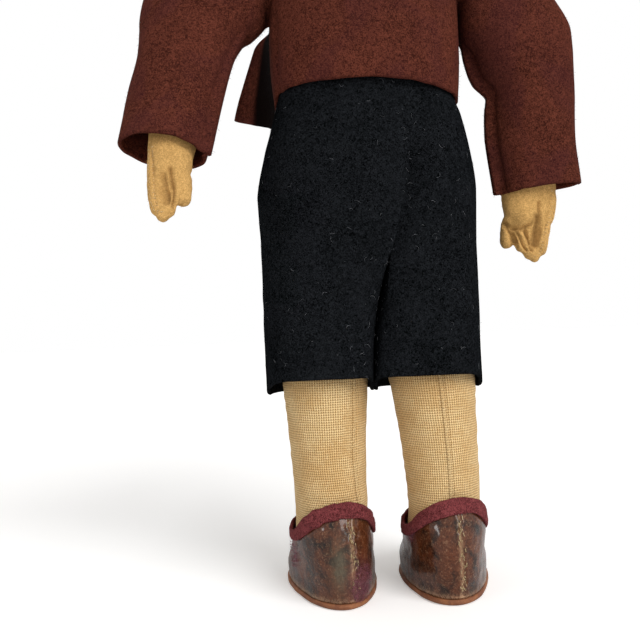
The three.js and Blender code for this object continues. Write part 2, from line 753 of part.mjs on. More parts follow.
function makeArm({ elbowX, wrist, palmHalfWidth, fingerSpacing, fingertip, thumbTip }, pocketShape) {
  const count = armSegments;
  const faceX = torsoShoulderFaceX + gap;
  const fanX = armholeFaceX + 1;
  const pivotZ = shoulderAxisZ - armDiscRadius;
  const [wristX, wristZ] = wrist;
  const knuckleZ = wristZ - 12.6;
  const fan = [
    [24, armDiscRadius, armDiscRadius - 0.6],
    [48, armDiscRadius - 0.6, armDiscRadius - 1.8],
    [68, armDiscRadius - 1.6, armDiscRadius - 3],
  ];
  const [middleX, middleZ] = [(elbowX + wristX) / 2, (elbowZ + wristZ) / 2];
  const rings = [
    armRing(faceX, shoulderAxisZ, 0, armDiscRadius, armDiscRadius, count),
    armRing(fanX, shoulderAxisZ, 0, armDiscRadius, armDiscRadius, count),
    ...armpitFan(fanX, pivotZ, fan),
    armRing(elbowX - 5, (pivotZ + elbowZ) / 2, 74, armRadius + 1, armRadius + 0.6, count),
    armRing(elbowX, elbowZ, 82, armRadius, armRadius, count),
    armRing(middleX, middleZ, 88, armRadius - 0.6, armRadius - 1.4, count),
    armRing(wristX, wristZ, 90, palmHalfWidth - 0.6, wristHalfDepth, count),
    armRing(wristX, wristZ - 6, 90, palmHalfWidth, wristHalfDepth - 0.4, count, 0.4),
    armRing(wristX, knuckleZ, 90, palmHalfWidth * 0.86, wristHalfDepth - 1.2, count, 0.8),
    armRing(wristX, knuckleZ - 4, 90, palmHalfWidth * 0.62, wristHalfDepth - 2.6, count, 1.4),
  ];
  let arm = loft(rings).subtract(pocketShape.translate([faceX, 0, shoulderAxisZ]));
  // Four stitched fingers lie side by side, drawn together at their tips and a little curled.
  [-1.5, -0.5, 0.5, 1.5].forEach((place, i) => {
    const [spread, tipSpread] = fingerSpacing;
    const root = new THREE.Vector3(wristX + place * spread, 1, knuckleZ + 3);
    const tip = new THREE.Vector3(fingertip[0] + place * tipSpread, 5.2, fingertip[1] + [2.6, 0, 0.4, 3][i]);
    arm = arm.add(finger(root, tip, fingerRadius));
  });
  const thumbRoot = new THREE.Vector3(wristX - palmHalfWidth * 0.5, 0.5, wristZ - 7);
  const thumb = new THREE.Vector3(thumbTip[0], 2, thumbTip[1]);
  return arm.add(finger(thumbRoot, thumb, thumbRadius));
}

// Jacket: a back and two fronts cut from one felt form, with seams down the sides and along the shoulders.
// The left front is turned out at the hem.

const jacketWidth = profile(
  [jacketHemZ - 5, jacketHemHalfWidth],
  [jacketHemZ + 13, jacketHalfWidth + 0.5],
  [shoulderAxisZ - armholeRadius, jacketHalfWidth + 0.4],
  [shoulderAxisZ, jacketHalfWidth],
  [shoulderAxisZ + 12, jacketHalfWidth - 0.6],
  [shoulderAxisZ + 19, jacketHalfWidth - 5],
  [shoulderAxisZ + 22.5, 27],
  [jacketNeckZ, jacketNeckRadius],
);
const jacketDepth = profile(
  [shoulderAxisZ - 20, jacketHalfDepth],
  [shoulderAxisZ, jacketHalfDepth - 1.5],
  [shoulderAxisZ + 14, 24.5],
  [jacketNeckZ, jacketNeckRadius],
);
const jacketSquareness = profile([shoulderAxisZ + 12, bodySquareness], [jacketNeckZ, 2]);
const frontEdges = [-86, 264];

// A point on the jacket, raised by a lift. Degrees run from the left side (0) by the back to the right
// side (180), and below 0 lies the left front, which turns away from the body the lower it hangs.
function jacketPoint(z, degrees, lift = 0) {
  const angle = THREE.MathUtils.degToRad(degrees);
  const [c, s] = [Math.cos(angle), Math.sin(angle)];
  const power = 2 / jacketSquareness(z);
  const [width, depth] = [jacketWidth(z) + lift, jacketDepth(z) + lift];
  const x = Math.sign(c) * Math.abs(c) ** power * width;
  const y = Math.sign(s) * Math.abs(s) ** power * depth;
  const wrapped = new THREE.Vector3(x, y, z);
  if (degrees >= 0) return wrapped;
  const reach = (degrees / frontEdges[0]) * flapLength;
  const turn = (reach / flapLength) * (Math.PI / 2);
  const out = flapOut * THREE.MathUtils.clamp(1 - (z - jacketHemZ) / 66, 0, 1);
  const turnedX = width + out * (1 - Math.cos(turn));
  const turned = new THREE.Vector3(turnedX, (lift - flapForward) * Math.sin(turn), z);
  const open = 1 - THREE.MathUtils.smoothstep(z, ...flapOpenZ);
  return wrapped.lerp(turned, open * THREE.MathUtils.smoothstep(reach, 0, 12));
}

// The hem hangs lower towards the right, and dips in the middle of the turned front.
function jacketHem(degrees) {
  const reach = Math.max(degrees / frontEdges[0], 0);
  const side = jacketHemTilt * jacketHemHalfWidth * Math.cos(THREE.MathUtils.degToRad(Math.max(degrees, 0)));
  const dip = THREE.MathUtils.smoothstep(reach, 0, 0.5) - 0.85 * THREE.MathUtils.smoothstep(reach, 0.55, 1);
  return jacketHemZ + side - flapDrop * dip;
}

function jacketRow(share) {
  return levels(...frontEdges, 25).map((degrees) =>
    jacketPoint(THREE.MathUtils.lerp(jacketHem(degrees), jacketNeckZ, share), degrees),
  );
}

function makeJacketPanels() {
  const shares = [0, 0.22, 0.42, 0.6, 0.76, 0.87, 0.945, 1];
  let jacket = sheet(shares.map(jacketRow), jacketFelt);
  for (const sign of [-1, 1]) {
    const hole = barX(torsoShoulderFaceX - 3, jacketHalfWidth + 6, armholeRadius, 0, 0, 20);
    jacket = jacket.subtract(mirrored(hole, sign).translate([0, 0, shoulderAxisZ]));
  }
  const reach = 90;
  const front = jacket.intersect(block([-reach, -reach, 0], [reach, -gap / 2, crownZ]));
  return {
    back: jacket.intersect(block([-reach, gap / 2, 0], [reach, reach, crownZ])),
    left: front.intersect(block([0, -reach, 0], [reach, 0, crownZ])),
    right: front.intersect(block([-reach, -reach, 0], [0, 0, crownZ])),
  };
}

// The collar is turned down over the jacket, following it at its own offset.
function makeJacketCollar() {
  const lift = gap + jacketFelt;
  const rows = [0, 0.5, 1].map((share) => {
    return levels(-68, 248, 17).map((degrees) => {
      const side = Math.cos(THREE.MathUtils.degToRad(degrees)) ** 2;
      const low = THREE.MathUtils.lerp(jacketCollarBackZ, jacketCollarSideZ, side);
      const z = THREE.MathUtils.lerp(low, jacketNeckZ - 0.4, share);
      return jacketPoint(z, degrees, lift).add(new THREE.Vector3(0, 0, lift));
    });
  });
  return sheet(rows, jacketFelt);
}

// Head

// Each level of the head, from the neck to the crown, with its share of the full width and depth.
const headShape = [
  [0.145, 0.67],
  [0.226, 0.84],
  [0.371, 0.965],
  [0.58, 1],
  [0.774, 0.923],
  [0.903, 0.72],
  [0.968, 0.42],
  [1, 0.15],
];
const headProfile = (halfSize) =>
  profile(
    [neckZ, headNeckRadius],
    [headAt(0.097), headNeckRadius + gap],
    ...headShape.map(([share, size]) => [headAt(share), size * halfSize]),
  );
const headWidth = headProfile(headHalfWidth);
const headDepth = headProfile(headHalfDepth);

// How far the face stands forward of the plain head at a place on it.
function faceRelief(x, z) {
  const unit = headHalfWidth / 10;
  const bump = (height, cx, cz, wide, tall) =>
    height * unit * Math.exp(-(((x - cx) / (wide * unit)) ** 2) - ((z - cz) / (tall * unit)) ** 2);
  const nose = bump(2, 0, noseZ, 1.4, 1.8) + bump(0.7, 0, noseZ + 2.3 * unit, 1.1, 2.3);
  const cheekX = 4.6 * unit;
  const cheekZ = noseZ - 1.5 * unit;
  const cheeks = bump(0.54, cheekX, cheekZ, 2.7, 2.3) + bump(0.54, -cheekX, cheekZ, 2.7, 2.3);
  const chin = bump(0.85, 0, headAt(0.21), 2.7, 1.5);
  const sockets = bump(-0.54, eyeX, eyeZ, 1.7, 1.4) + bump(-0.54, -eyeX, eyeZ, 1.7, 1.4);
  const mouth = bump(0.46, 0, headAt(0.306), 2.3, 1);
  return nose + cheeks + chin + sockets + mouth;
}

const faceShare = (y) => THREE.MathUtils.smoothstep(-y / headHalfDepth, 0.3, 0.74);

function headRings(offset, zs) {
  return zs.map((z) =>
    section(z, headWidth(z) + offset, headDepth(z) + offset, 2.2, 0, 0, headSegments).map((p) =>
      p.y < 0 ? p.setY(p.y - faceRelief(p.x, z) * faceShare(p.y)) : p,
    ),
  );
}

const headLevels = [0.1, 0.15, 0.226, 0.29, 0.347, 0.403, 0.452, 0.516, 0.613, 0.774].map(headAt);
const headTops = [0.903, 0.968, 1].map(headAt);

function makeHead(pocketShape) {
  const head = loft(headRings(0, [neckZ + gap, ...headLevels, ...headTops]));
  return head.subtract(pocketShape.rotate([0, -90, 0]).translate([0, 0, neckZ + gap]));
}

function ellipsoid(size, place, segments = 10) {
  const ball = new THREE.SphereGeometry(1, segments, Math.round(segments * 0.66));
  return solid(ball.scale(...size).translate(...place));
}

function earShape(sign, grown) {
  const size = [0.13, 0.17, 0.25].map((share) => share * headHalfWidth + grown);
  return ellipsoid(size, [sign * headHalfWidth * 1.02, -headHalfDepth * 0.04, earZ]);
}

function makeHair() {
  const zs = [...headLevels.slice(2), ...headTops];
  const low = loft(headRings(gap, zs));
  const lift = gap + hairThickness;
  const outerZs = [...zs.slice(0, -3).filter((_, i) => i % 2 === 0), ...headTops];
  const high = loft(
    headRings(lift, outerZs).map((ring) =>
      ring.map((p) => p.setZ(p.z + lift * THREE.MathUtils.smoothstep(p.z, headAt(0.64), headAt(0.95)))),
    ),
  );
  const brow = new THREE.CatmullRomCurve3(
    [
      [-2, 0.79],
      [-0.7, 0.79],
      [-0.19, 0.6],
      [0.07, 0.435],
      [0.3, 0.274],
      [0.44, 0.21],
      [2, 0.194],
    ].map(([back, up]) => new THREE.Vector3(back * headHalfDepth, headAt(up), 0)),
  );
  const outline = new THREE.Shape(brow.getPoints(14).map((p) => new THREE.Vector2(p.x, p.y)));
  const top = headAt(1.5);
  outline.lineTo(2 * headHalfDepth, top).lineTo(-2 * headHalfDepth, top);
  const wide = new THREE.ExtrudeGeometry(outline, { depth: 4 * headHalfWidth, bevelEnabled: false });
  const turn = new THREE.Matrix4().makeBasis(
    new THREE.Vector3(0, 1, 0),
    new THREE.Vector3(0, 0, 1),
    new THREE.Vector3(1, 0, 0),
  );
  const keep = solid(wide.applyMatrix4(turn).translate(-2 * headHalfWidth, 0, 0));
  const ears = earShape(1, gap).add(earShape(-1, gap));
  return high.subtract(low).intersect(keep).subtract(ears);
}

// Assembly

const doll = new THREE.Group();

function place(group, name, slot, manifold) {
  const data = manifold.simplify(facetTolerance).getMesh();
  const geometry = new THREE.BufferGeometry();
  geometry.setAttribute("position", new THREE.BufferAttribute(new Float32Array(data.vertProperties), 3));
  geometry.setIndex(new THREE.BufferAttribute(new Uint32Array(data.triVerts), 1));
  geometry.computeVertexNormals();
  const mesh = new THREE.Mesh(geometry, materials[slot]);
  mesh.name = name;
  group.add(mesh);
  return mesh;
}

function placeJoint(limb, name, pieces, move) {
  place(limb, `${name}_limb_disc`, "hardboard", move(pieces.limbDisc));
  place(limb, `${name}_limb_washer`, "steel", move(pieces.limbWasher));
  place(doll, `${name}_body_disc`, "hardboard", move(pieces.bodyDisc));
  place(doll, `${name}_body_washer`, "steel", move(pieces.bodyWasher));
  place(doll, `${name}_pin`, "steel", move(pieces.pin));
}

const shoulderJoint = joint(shoulderDiscRadius);
const hipJoint = joint(hipDiscRadius);
const neckJoint = joint(neckDiscRadius);

const torso = makeTorso(
  pocket(shoulderDiscRadius, bodyPocketDepth, -1),
  pocket(hipDiscRadius, bodyPocketDepth - 0.4, -1),
  pocket(neckDiscRadius, bodyPocketDepth, -1),
);
place(doll, "torso", "skin_felt", torso);
place(doll, "shirt", "shirt_cotton", makeShirt());
place(doll, "shirt_collar", "shirt_cotton", makeShirtCollar());
const jacket = makeJacketPanels();
place(doll, "jacket_back", "jacket_felt", jacket.back);
place(doll, "jacket_front_left", "jacket_felt", jacket.left);
place(doll, "jacket_front_right", "jacket_felt", jacket.right);
place(doll, "jacket_collar", "jacket_felt", makeJacketCollar());
const shorts = makeShorts();
place(doll, "shorts_seat", "shorts_felt", shorts.seat);

for (const arm of arms) {
  const limb = new THREE.Group();
  const sided = (manifold) => mirrored(manifold, arm.sign);
  const armPocket = pocket(shoulderDiscRadius, limbPocketDepth, 1);
  place(limb, `arm_${arm.side}`, "skin_felt", sided(makeArm(arm, armPocket)));
  place(limb, `sleeve_${arm.side}`, "jacket_felt", sided(makeSleeve(arm)));
  placeJoint(limb, `shoulder_${arm.side}`, shoulderJoint, (manifold) =>
    sided(manifold.translate([torsoShoulderFaceX + gap / 2, 0, shoulderAxisZ])),
  );
  // The arm hangs from its shoulder axis, turned back by its swing.
  const swing = THREE.MathUtils.degToRad(arm.swing);
  const about = new THREE.Matrix4()
    .makeTranslation(0, 0, shoulderAxisZ)
    .multiply(new THREE.Matrix4().makeRotationX(swing))
    .multiply(new THREE.Matrix4().makeTranslation(0, 0, -shoulderAxisZ));
  limb.applyMatrix4(about);
  doll.add(limb);
}

for (const leg of legs) {
  const { side } = leg;
  const sided = (manifold) => mirrored(manifold, leg.sign);
  place(doll, `leg_${side}`, "skin_felt", sided(makeLeg(leg, pocket(hipDiscRadius, limbPocketDepth, 1))));
  place(doll, `stocking_${side}`, "stocking_knit", sided(makeStocking(leg)));
  place(doll, `shorts_leg_${side}`, "shorts_felt", shorts[side]);
  place(doll, `slipper_upper_${side}`, "slipper_leather", sided(makeUpper(leg)));
  place(doll, `slipper_trim_${side}`, "trim_felt", sided(makeTrim(leg)));
  place(doll, `slipper_tongue_${side}`, "sole_leather", sided(makeTongue(leg)));
  place(doll, `slipper_sole_${side}`, "sole_leather", sided(makeSole(leg)));
  placeJoint(doll, `hip_${side}`, hipJoint, (manifold) =>
    sided(manifold.translate([torsoHipHalfWidth + gap / 2, 0, hipAxisZ])),
  );
}

const head = makeHead(pocket(neckDiscRadius, limbPocketDepth, 1));
const headSkin = loft(headRings(gap, [neckZ + gap, ...headLevels, ...headTops]));
place(doll, "head", "face_felt", head);
place(doll, "hair", "hair_mohair", makeHair());
placeJoint(doll, "neck", neckJoint, (manifold) =>
  manifold.rotate([0, -90, 0]).translate([0, 0, neckZ + gap / 2]),
);
for (const [side, sign] of [
  ["left", 1],
  ["right", -1],
]) {
  const eyeY = -headHalfDepth * 0.911;
  const eye = ellipsoid([eyeRadius, eyeRadius, eyeRadius], [sign * eyeX, eyeY, eyeZ]).subtract(headSkin);
  place(doll, `eye_${side}`, "eye_glass", eye);
  place(doll, `ear_${side}`, "face_felt", earShape(sign, 0).subtract(headSkin));
}

// The origin is at the middle of the doll's footprint box, on the surface that it stands on.
doll.updateMatrixWorld(true);
const box = new THREE.Box3().setFromObject(doll, true);
doll.position.set(-(box.min.x + box.max.x) / 2, -(box.min.y + box.max.y) / 2, -box.min.z);

export default doll;
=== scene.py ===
import json
import math

import bpy
import numpy as np
from mathutils import Matrix, Vector


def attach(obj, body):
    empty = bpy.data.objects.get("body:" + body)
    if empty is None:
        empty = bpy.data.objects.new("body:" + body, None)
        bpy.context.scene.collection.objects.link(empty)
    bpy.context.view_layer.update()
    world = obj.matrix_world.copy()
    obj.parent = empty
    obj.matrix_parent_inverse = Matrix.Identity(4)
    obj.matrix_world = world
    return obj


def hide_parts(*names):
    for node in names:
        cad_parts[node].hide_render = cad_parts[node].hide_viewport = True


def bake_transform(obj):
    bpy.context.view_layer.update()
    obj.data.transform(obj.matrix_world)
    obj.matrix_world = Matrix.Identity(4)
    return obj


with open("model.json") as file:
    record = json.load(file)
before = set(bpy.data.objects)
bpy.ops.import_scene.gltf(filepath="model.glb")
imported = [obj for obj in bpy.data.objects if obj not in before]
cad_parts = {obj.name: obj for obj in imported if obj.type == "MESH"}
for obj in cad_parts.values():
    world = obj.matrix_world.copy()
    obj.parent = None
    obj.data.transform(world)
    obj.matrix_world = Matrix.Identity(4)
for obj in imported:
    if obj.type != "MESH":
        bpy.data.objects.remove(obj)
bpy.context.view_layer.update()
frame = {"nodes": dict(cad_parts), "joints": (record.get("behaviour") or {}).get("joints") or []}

NECK_PIVOT = (0, 0, 285.15)
neck_joint = next(j for j in frame["joints"] if j["name"] == "neck_swivel")
SHIFT = np.array(neck_joint["pos_m"]) - np.array(NECK_PIVOT) * 0.001


SIDES = (("left", 1), ("right", -1))


def to_frame(points):
    return np.asarray(points, float) * 0.001 + SHIFT


# Numbers


def lerp(a, b, share):
    return a + (b - a) * share


def smoothstep(x, low, high):
    t = np.clip((np.asarray(x, float) - low) / (high - low), 0, 1)
    return t * t * (3 - 2 * t)


def curve(*knots):
    """A smooth curve through (position, value) pairs, without overshoot."""
    xs, ys = np.array(knots, float).T
    width, rise = np.diff(xs), np.diff(ys)
    index = np.arange(len(xs))
    before, after = np.maximum(index - 1, 0), np.minimum(index + 1, len(xs) - 1)
    slope = (ys[after] - ys[before]) / (xs[after] - xs[before])

    def at(x):
        x = np.clip(x, xs[0], xs[-1])
        i = np.clip(np.searchsorted(xs, x, "right") - 1, 0, len(width) - 1)
        mean = rise[i] / width[i]
        safe = np.where(mean == 0, 1, mean)
        start = np.where(mean == 0, 0, np.clip(slope[i] / safe, 0, 3) * mean)
        end = np.where(mean == 0, 0, np.clip(slope[i + 1] / safe, 0, 3) * mean)
        t = (x - xs[i]) / width[i]
        t2, t3 = t * t, t * t * t
        bend = start * (t3 - 2 * t2 + t) + end * (t3 - t2)
        return ys[i] + rise[i] * (3 * t2 - 2 * t3) + width[i] * bend

    return at


LATTICE = np.random.default_rng(5).uniform(-1, 1, (32, 32, 32))


def wander(points, size, seed=0):
    """Smooth noise from -1 to 1, with lumps of the given size in millimetres."""
    q = np.asarray(points, float) / size + seed * 5.37
    cell = np.floor(q).astype(int)
    f = q - cell
    f = f * f * (3 - 2 * f)
    total = 0
    for corner in np.ndindex(2, 2, 2):
        weight = np.prod(np.where(corner, f, 1 - f), axis=-1)
        i, j, k = np.moveaxis((cell + corner) % 32, -1, 0)
        total = total + weight * LATTICE[i, j, k]
    return total


def peak(x, width, at=0):
    """A smooth peak of height 1."""
    return np.exp(-(((x - at) / width) ** 2))


def rounded(angle, squareness):
    """The cosine and sine of a rounded square."""
    c, s = np.cos(angle), np.sin(angle)
    power = 2 / squareness
    return np.sign(c) * np.abs(c) ** power, np.sign(s) * np.abs(s) ** power


def stack(*parts):
    return np.stack(np.broadcast_arrays(*parts), axis=-1).astype(float)


def pushed(grid, away, distance):
    return grid + away * distance[..., None]


def unit(vectors):
    return vectors / np.maximum(np.linalg.norm(vectors, axis=-1, keepdims=True), 1e-9)


def circle(count):
    return np.arange(count) * 2 * math.pi / count


def levels(low, high, count):
    """Evenly spaced rows of a grid, as a column."""
    return np.linspace(low, high, count)[:, None]


# Meshes. Faces are rows of four point numbers, with the last one repeated in a triangle.


def grid_faces(rows, columns, wrap=False):
    i = np.arange(rows - 1)[:, None]
    j = np.arange(columns if wrap else columns - 1)[None, :]
    a, b = i * columns + j, i * columns + (j + 1) % columns
    return np.stack([a, b, b + columns, a + columns], axis=-1).reshape(-1, 4)


def fan(ring, middle):
    after = np.roll(ring, -1)
    return np.stack([ring, after, np.full_like(ring, middle), np.full_like(ring, middle)], axis=-1)


def volume(points, faces):
    a, b, c, d = (points[faces[:, k]] for k in range(4))
    return (np.cross(a, b) * c).sum() + (np.cross(a, c) * d).sum()


def reverse(faces):
    """The same faces seen from behind, with a triangle's repeated point still last."""
    triangle = faces[:, 2] == faces[:, 3]
    turned = faces[:, [0, 3, 2, 1]].copy()
    turned[triangle] = faces[triangle][:, [0, 2, 1, 1]]
    return turned


def outward(points, faces):
    """A closed skin's faces, turned to look out of it."""
    return reverse(faces) if volume(points, faces) < 0 else faces


def capped(grid):
    """A closed skin from rings, with a fan over each end."""
    rows, columns = grid.shape[:2]
    points = np.concatenate([grid.reshape(-1, 3), grid[:1].mean(1), grid[-1:].mean(1)])
    first, last = np.arange(columns), np.arange(columns) + (rows - 1) * columns
    ends = [reverse(fan(first, rows * columns)), fan(last, rows * columns + 1)]
    return points, outward(points, np.concatenate([grid_faces(rows, columns, wrap=True), *ends]))


def vertex_normals(points, faces):
    normals = np.zeros_like(points)
    a, b, c, d = (points[faces[:, k]] for k in range(4))
    face = np.cross(c - a, d - b) + np.cross(b - a, c - a) * (faces[:, 2] == faces[:, 3])[:, None]
    for k in range(4):
        np.add.at(normals, faces[:, k], face)
    return unit(normals)


def borders(faces):
    """Directed edges that only one face uses."""
    a, b = faces.ravel(), np.roll(faces, -1, axis=1).ravel()
    a, b = a[a != b], b[a != b]
    size = faces.max() + 1
    alone = ~np.isin(a * size + b, b * size + a)
    return a[alone], b[alone]


def thicken(points, faces, thickness, bulge):
    """Cloth from its outer layer: an inner layer, and a slightly rounded cut edge between them."""
    count = len(points)
    normals = vertex_normals(points, faces)
    inner = points - normals * thickness
    a, b = borders(faces)
    away = np.cross(points[b] - points[a], normals[a] + normals[b])
    push = np.zeros_like(points)
    np.add.at(push, a, away)
    np.add.at(push, b, away)
    rim = np.unique(a)
    middle = (points[rim] + inner[rim]) / 2 + unit(push[rim]) * bulge
    place = np.full(count, -1)
    place[rim] = np.arange(len(rim)) + 2 * count
    sides = [
        np.stack([b, a, place[a], place[b]], axis=-1),
        np.stack([place[b], place[a], a + count, b + count], axis=-1),
    ]
    return np.concatenate([points, inner, middle]), np.concatenate([faces, reverse(faces) + count, *sides])


def used_only(points, faces):
    """Without the points that no face uses."""
    used, where = np.unique(faces, return_inverse=True)
    return points[used], where.reshape(faces.shape)


def facing_out(points, faces, x=0):
    """An open cloth's faces, turned to look away from the upright axis at x."""
    from_axis = (points - [x, 0, 0]) * [1, 1, 0]
    share = (vertex_normals(points, faces) * from_axis).sum()
    return reverse(faces) if share < 0 else faces


def mirror(points, sign):
    return points * [sign, 1, 1]


def open_cloth(grid, sign=1, x=0, wrap=False):
    """A grid of a left piece as cloth, or of the right piece where sign is -1, facing away from x."""
    points = mirror(grid.reshape(-1, 3), sign)
    return points, facing_out(points, grid_faces(*grid.shape[:2], wrap), sign * x)


def mirrored(points, faces, sign):
    """A left piece's points and faces, or the right piece's where sign is -1."""
    return mirror(points, sign), faces if sign > 0 else reverse(faces)


def joined(*parts):
    """Several (points, faces) as one, and the part number of each face."""
    points, faces, part = [], [], []
    start = 0
    for number, (p, f) in enumerate(parts):
        points.append(p)
        faces.append(f + start)
        part.append(np.full(len(f), number))
        start += len(p)
    return np.concatenate(points), np.concatenate(faces), np.concatenate(part)


def mesh_of(name, points, faces):
    mesh = bpy.data.meshes.new(name)
    mesh.from_pydata(points.tolist(), [], [f[:3].tolist() if f[2] == f[3] else f.tolist() for f in faces])
    return mesh


def make(name, points, faces, materials, nodes, body=None, indices=None, marks=None, uv=None):
    """A piece of the doll. Its rest attribute keeps each point's own millimetres for the materials."""
    mesh = mesh_of(name, to_frame(points), faces)
    mesh.polygons.foreach_set("use_smooth", np.ones(len(faces), bool))
    rest = mesh.attributes.new("rest", "FLOAT_VECTOR", "POINT")
    rest.data.foreach_set("vector", np.ascontiguousarray(points, np.float32).ravel())
    for key, values in (marks or {}).items():
        mark = mesh.attributes.new(key, "FLOAT", "POINT")
        mark.data.foreach_set("value", np.asarray(values, np.float32).ravel())
    if uv is not None:
        layer = mesh.uv_layers.new(name="UVMap")
        corners = np.zeros(len(mesh.loops), int)
        mesh.loops.foreach_get("vertex_index", corners)
        layer.data.foreach_set("uv", np.asarray(uv, np.float32)[corners].ravel())
    for material in materials if isinstance(materials, list) else [materials]:
        mesh.materials.append(material)
    if indices is not None:
        mesh.polygons.foreach_set("material_index", np.asarray(indices, np.int32))
    mesh.validate()
    piece = bpy.data.objects.new(name, mesh)
    bpy.context.scene.collection.objects.link(piece)
    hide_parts(*nodes)
    if body:
        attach(piece, body)
    return piece


def fused(parts, voxel, smooth):
    """Overlapping closed skins melted into one, as stuffed felt is."""
    mesh = mesh_of("melt", *joined(*parts)[:2])
    melt = bpy.data.objects.new("melt", mesh)
    bpy.context.scene.collection.objects.link(melt)
    remesh = melt.modifiers.new("remesh", "REMESH")
    remesh.mode = "VOXEL"
    remesh.voxel_size = voxel
    soften = melt.modifiers.new("soften", "SMOOTH")
    soften.iterations = smooth
    made = melt.evaluated_get(bpy.context.evaluated_depsgraph_get()).to_mesh()
    co = np.zeros(len(made.vertices) * 3)
    made.vertices.foreach_get("co", co)
    quads = np.array([list(p.vertices) + [p.vertices[-1]] * (4 - len(p.vertices)) for p in made.polygons])
    bpy.data.objects.remove(melt)
    bpy.data.meshes.remove(mesh)
    return co.reshape(-1, 3), quads


def swept(path, size, sides, aside=None):
    """A closed round skin along a path, with a radius at each of its points."""
    ahead = unit(np.gradient(path, axis=0))
    if aside is None:
        aside = np.where(np.abs(ahead[:, 2:]) > 0.9, [1.0, 0, 0], [0, 0, 1.0])
    side = unit(np.cross(ahead, aside))
    up = np.cross(side, ahead)
    angle = circle(sides)
    ring = side[:, None] * np.cos(angle)[:, None] + up[:, None] * np.sin(angle)[:, None]
    return capped(path[:, None] + ring * size[:, None, None])


def tube_along(path, radius, sides=5):
    """A thin thread or strand along a path of points, tapering at both ends."""
    share = np.linspace(0, 1, len(path))
    return swept(path, radius * np.sin(math.pi * np.clip(share, 0.04, 0.96)) ** 0.5, sides)


# Materials


def srgb(code):
    values = [int(code[i : i + 2], 16) / 255 for i in (1, 3, 5)]
    return (*(v / 12.92 if v <= 0.04045 else ((v + 0.055) / 1.055) ** 2.4 for v in values), 1)


class Shader:
    """A material's nodes, made one call at a time."""

    def __init__(self, name, roughness, sheen=0, sheen_tint="#ffffff", specular=0.3, metallic=0, coat=0):
        self.material = bpy.data.materials.new(name)
        self.material.use_nodes = True
        self.tree = self.material.node_tree
        self.surface = self.tree.nodes["Principled BSDF"]
        self.fill(self.surface, {
            "Roughness": roughness, "Specular IOR Level": specular, "Metallic": metallic,
            "Sheen Weight": sheen, "Sheen Roughness": 0.5, "Sheen Tint": srgb(sheen_tint),
            "Coat Weight": coat, "Coat Roughness": 0.14,
        })

    def put(self, socket, value):
        if isinstance(value, bpy.types.NodeSocket):
            self.tree.links.new(value, socket)
        else:
            socket.default_value = value

    def fill(self, node, inputs):
        for key, value in inputs.items():
            self.put(node.inputs[key], value)

    def node(self, kind, inputs=None, **settings):
        made = self.tree.nodes.new("ShaderNode" + kind)
        for key, value in settings.items():
            setattr(made, key, value)
        self.fill(made, inputs or {})
        return made

    def place(self):
        """A place on a piece without the rest attribute, in its own metres."""
        return self.node("TexCoord").outputs["Object"]

    def rest(self, stretch=(1, 1, 1)):
        """A point's own millimetres, which stay with it as the doll moves."""
        where = self.node("Attribute", attribute_name="rest").outputs["Vector"]
        if stretch == (1, 1, 1):
            return where
        return self.node("Mapping", {"Vector": where, "Scale": stretch}).outputs[0]

    def mark(self, name):
        return self.node("Attribute", attribute_name=name).outputs["Fac"]

    def noise(self, where, size, detail=3, roughness=0.6, distortion=0.0):
        inputs = {"Vector": where, "Scale": 1 / size, "Detail": detail}
        inputs |= {"Roughness": roughness, "Distortion": distortion}
        return self.node("TexNoise", inputs).outputs["Fac"]

    def cells(self, where, size):
        return self.node("TexVoronoi", {"Vector": where, "Scale": 1 / size}).outputs["Distance"]

    def math(self, operation, a, b=0.0, c=0.0):
        made = self.node("Math", operation=operation)
        for socket, value in zip(made.inputs, (a, b, c)):
            self.put(socket, value)
        return made.outputs[0]

    def weigh(self, *parts):
        """The sum of (value, weight) pairs."""
        *others, (value, weight) = parts
        total = self.math("MULTIPLY", value, weight)
        for value, weight in reversed(others):
            total = self.math("MULTIPLY_ADD", value, weight, total)
        return total

    def ramp(self, value, low, high, to_low=0.0, to_high=1.0):
        inputs = {"Value": value, "From Min": low, "From Max": high, "To Min": to_low, "To Max": to_high}
        return self.node("MapRange", inputs, interpolation_type="SMOOTHSTEP").outputs[0]

    def mix(self, share, a, b):
        made = self.node("Mix", data_type="RGBA")
        self.put(made.inputs[0], share)
        self.put(made.inputs[6], srgb(a) if isinstance(a, str) else a)
        self.put(made.inputs[7], srgb(b) if isinstance(b, str) else b)
        return made.outputs[2]

    def blend(self, a, b, *ramp):
        """From one colour to another, by a ramp's value."""
        return self.mix(self.ramp(*ramp), a, b)

    def marked(self, name, a, b, *ramp):
        """As blend, but only where the piece's mark says."""
        return self.mix(self.math("MULTIPLY", self.mark(name), self.ramp(*ramp)), a, b)

    def bump(self, height, distance):
        """A surface that stands out by up to the distance, in millimetres."""
        inputs = {"Height": height, "Distance": distance * 0.001, "Strength": 1.0}
        return self.node("Bump", inputs).outputs[0]

    def finish(self, colour, normal=None, roughness=None):
        given = {"Base Color": colour, "Normal": normal, "Roughness": roughness}
        self.fill(self.surface, {key: value for key, value in given.items() if value is not None})
        return self.material


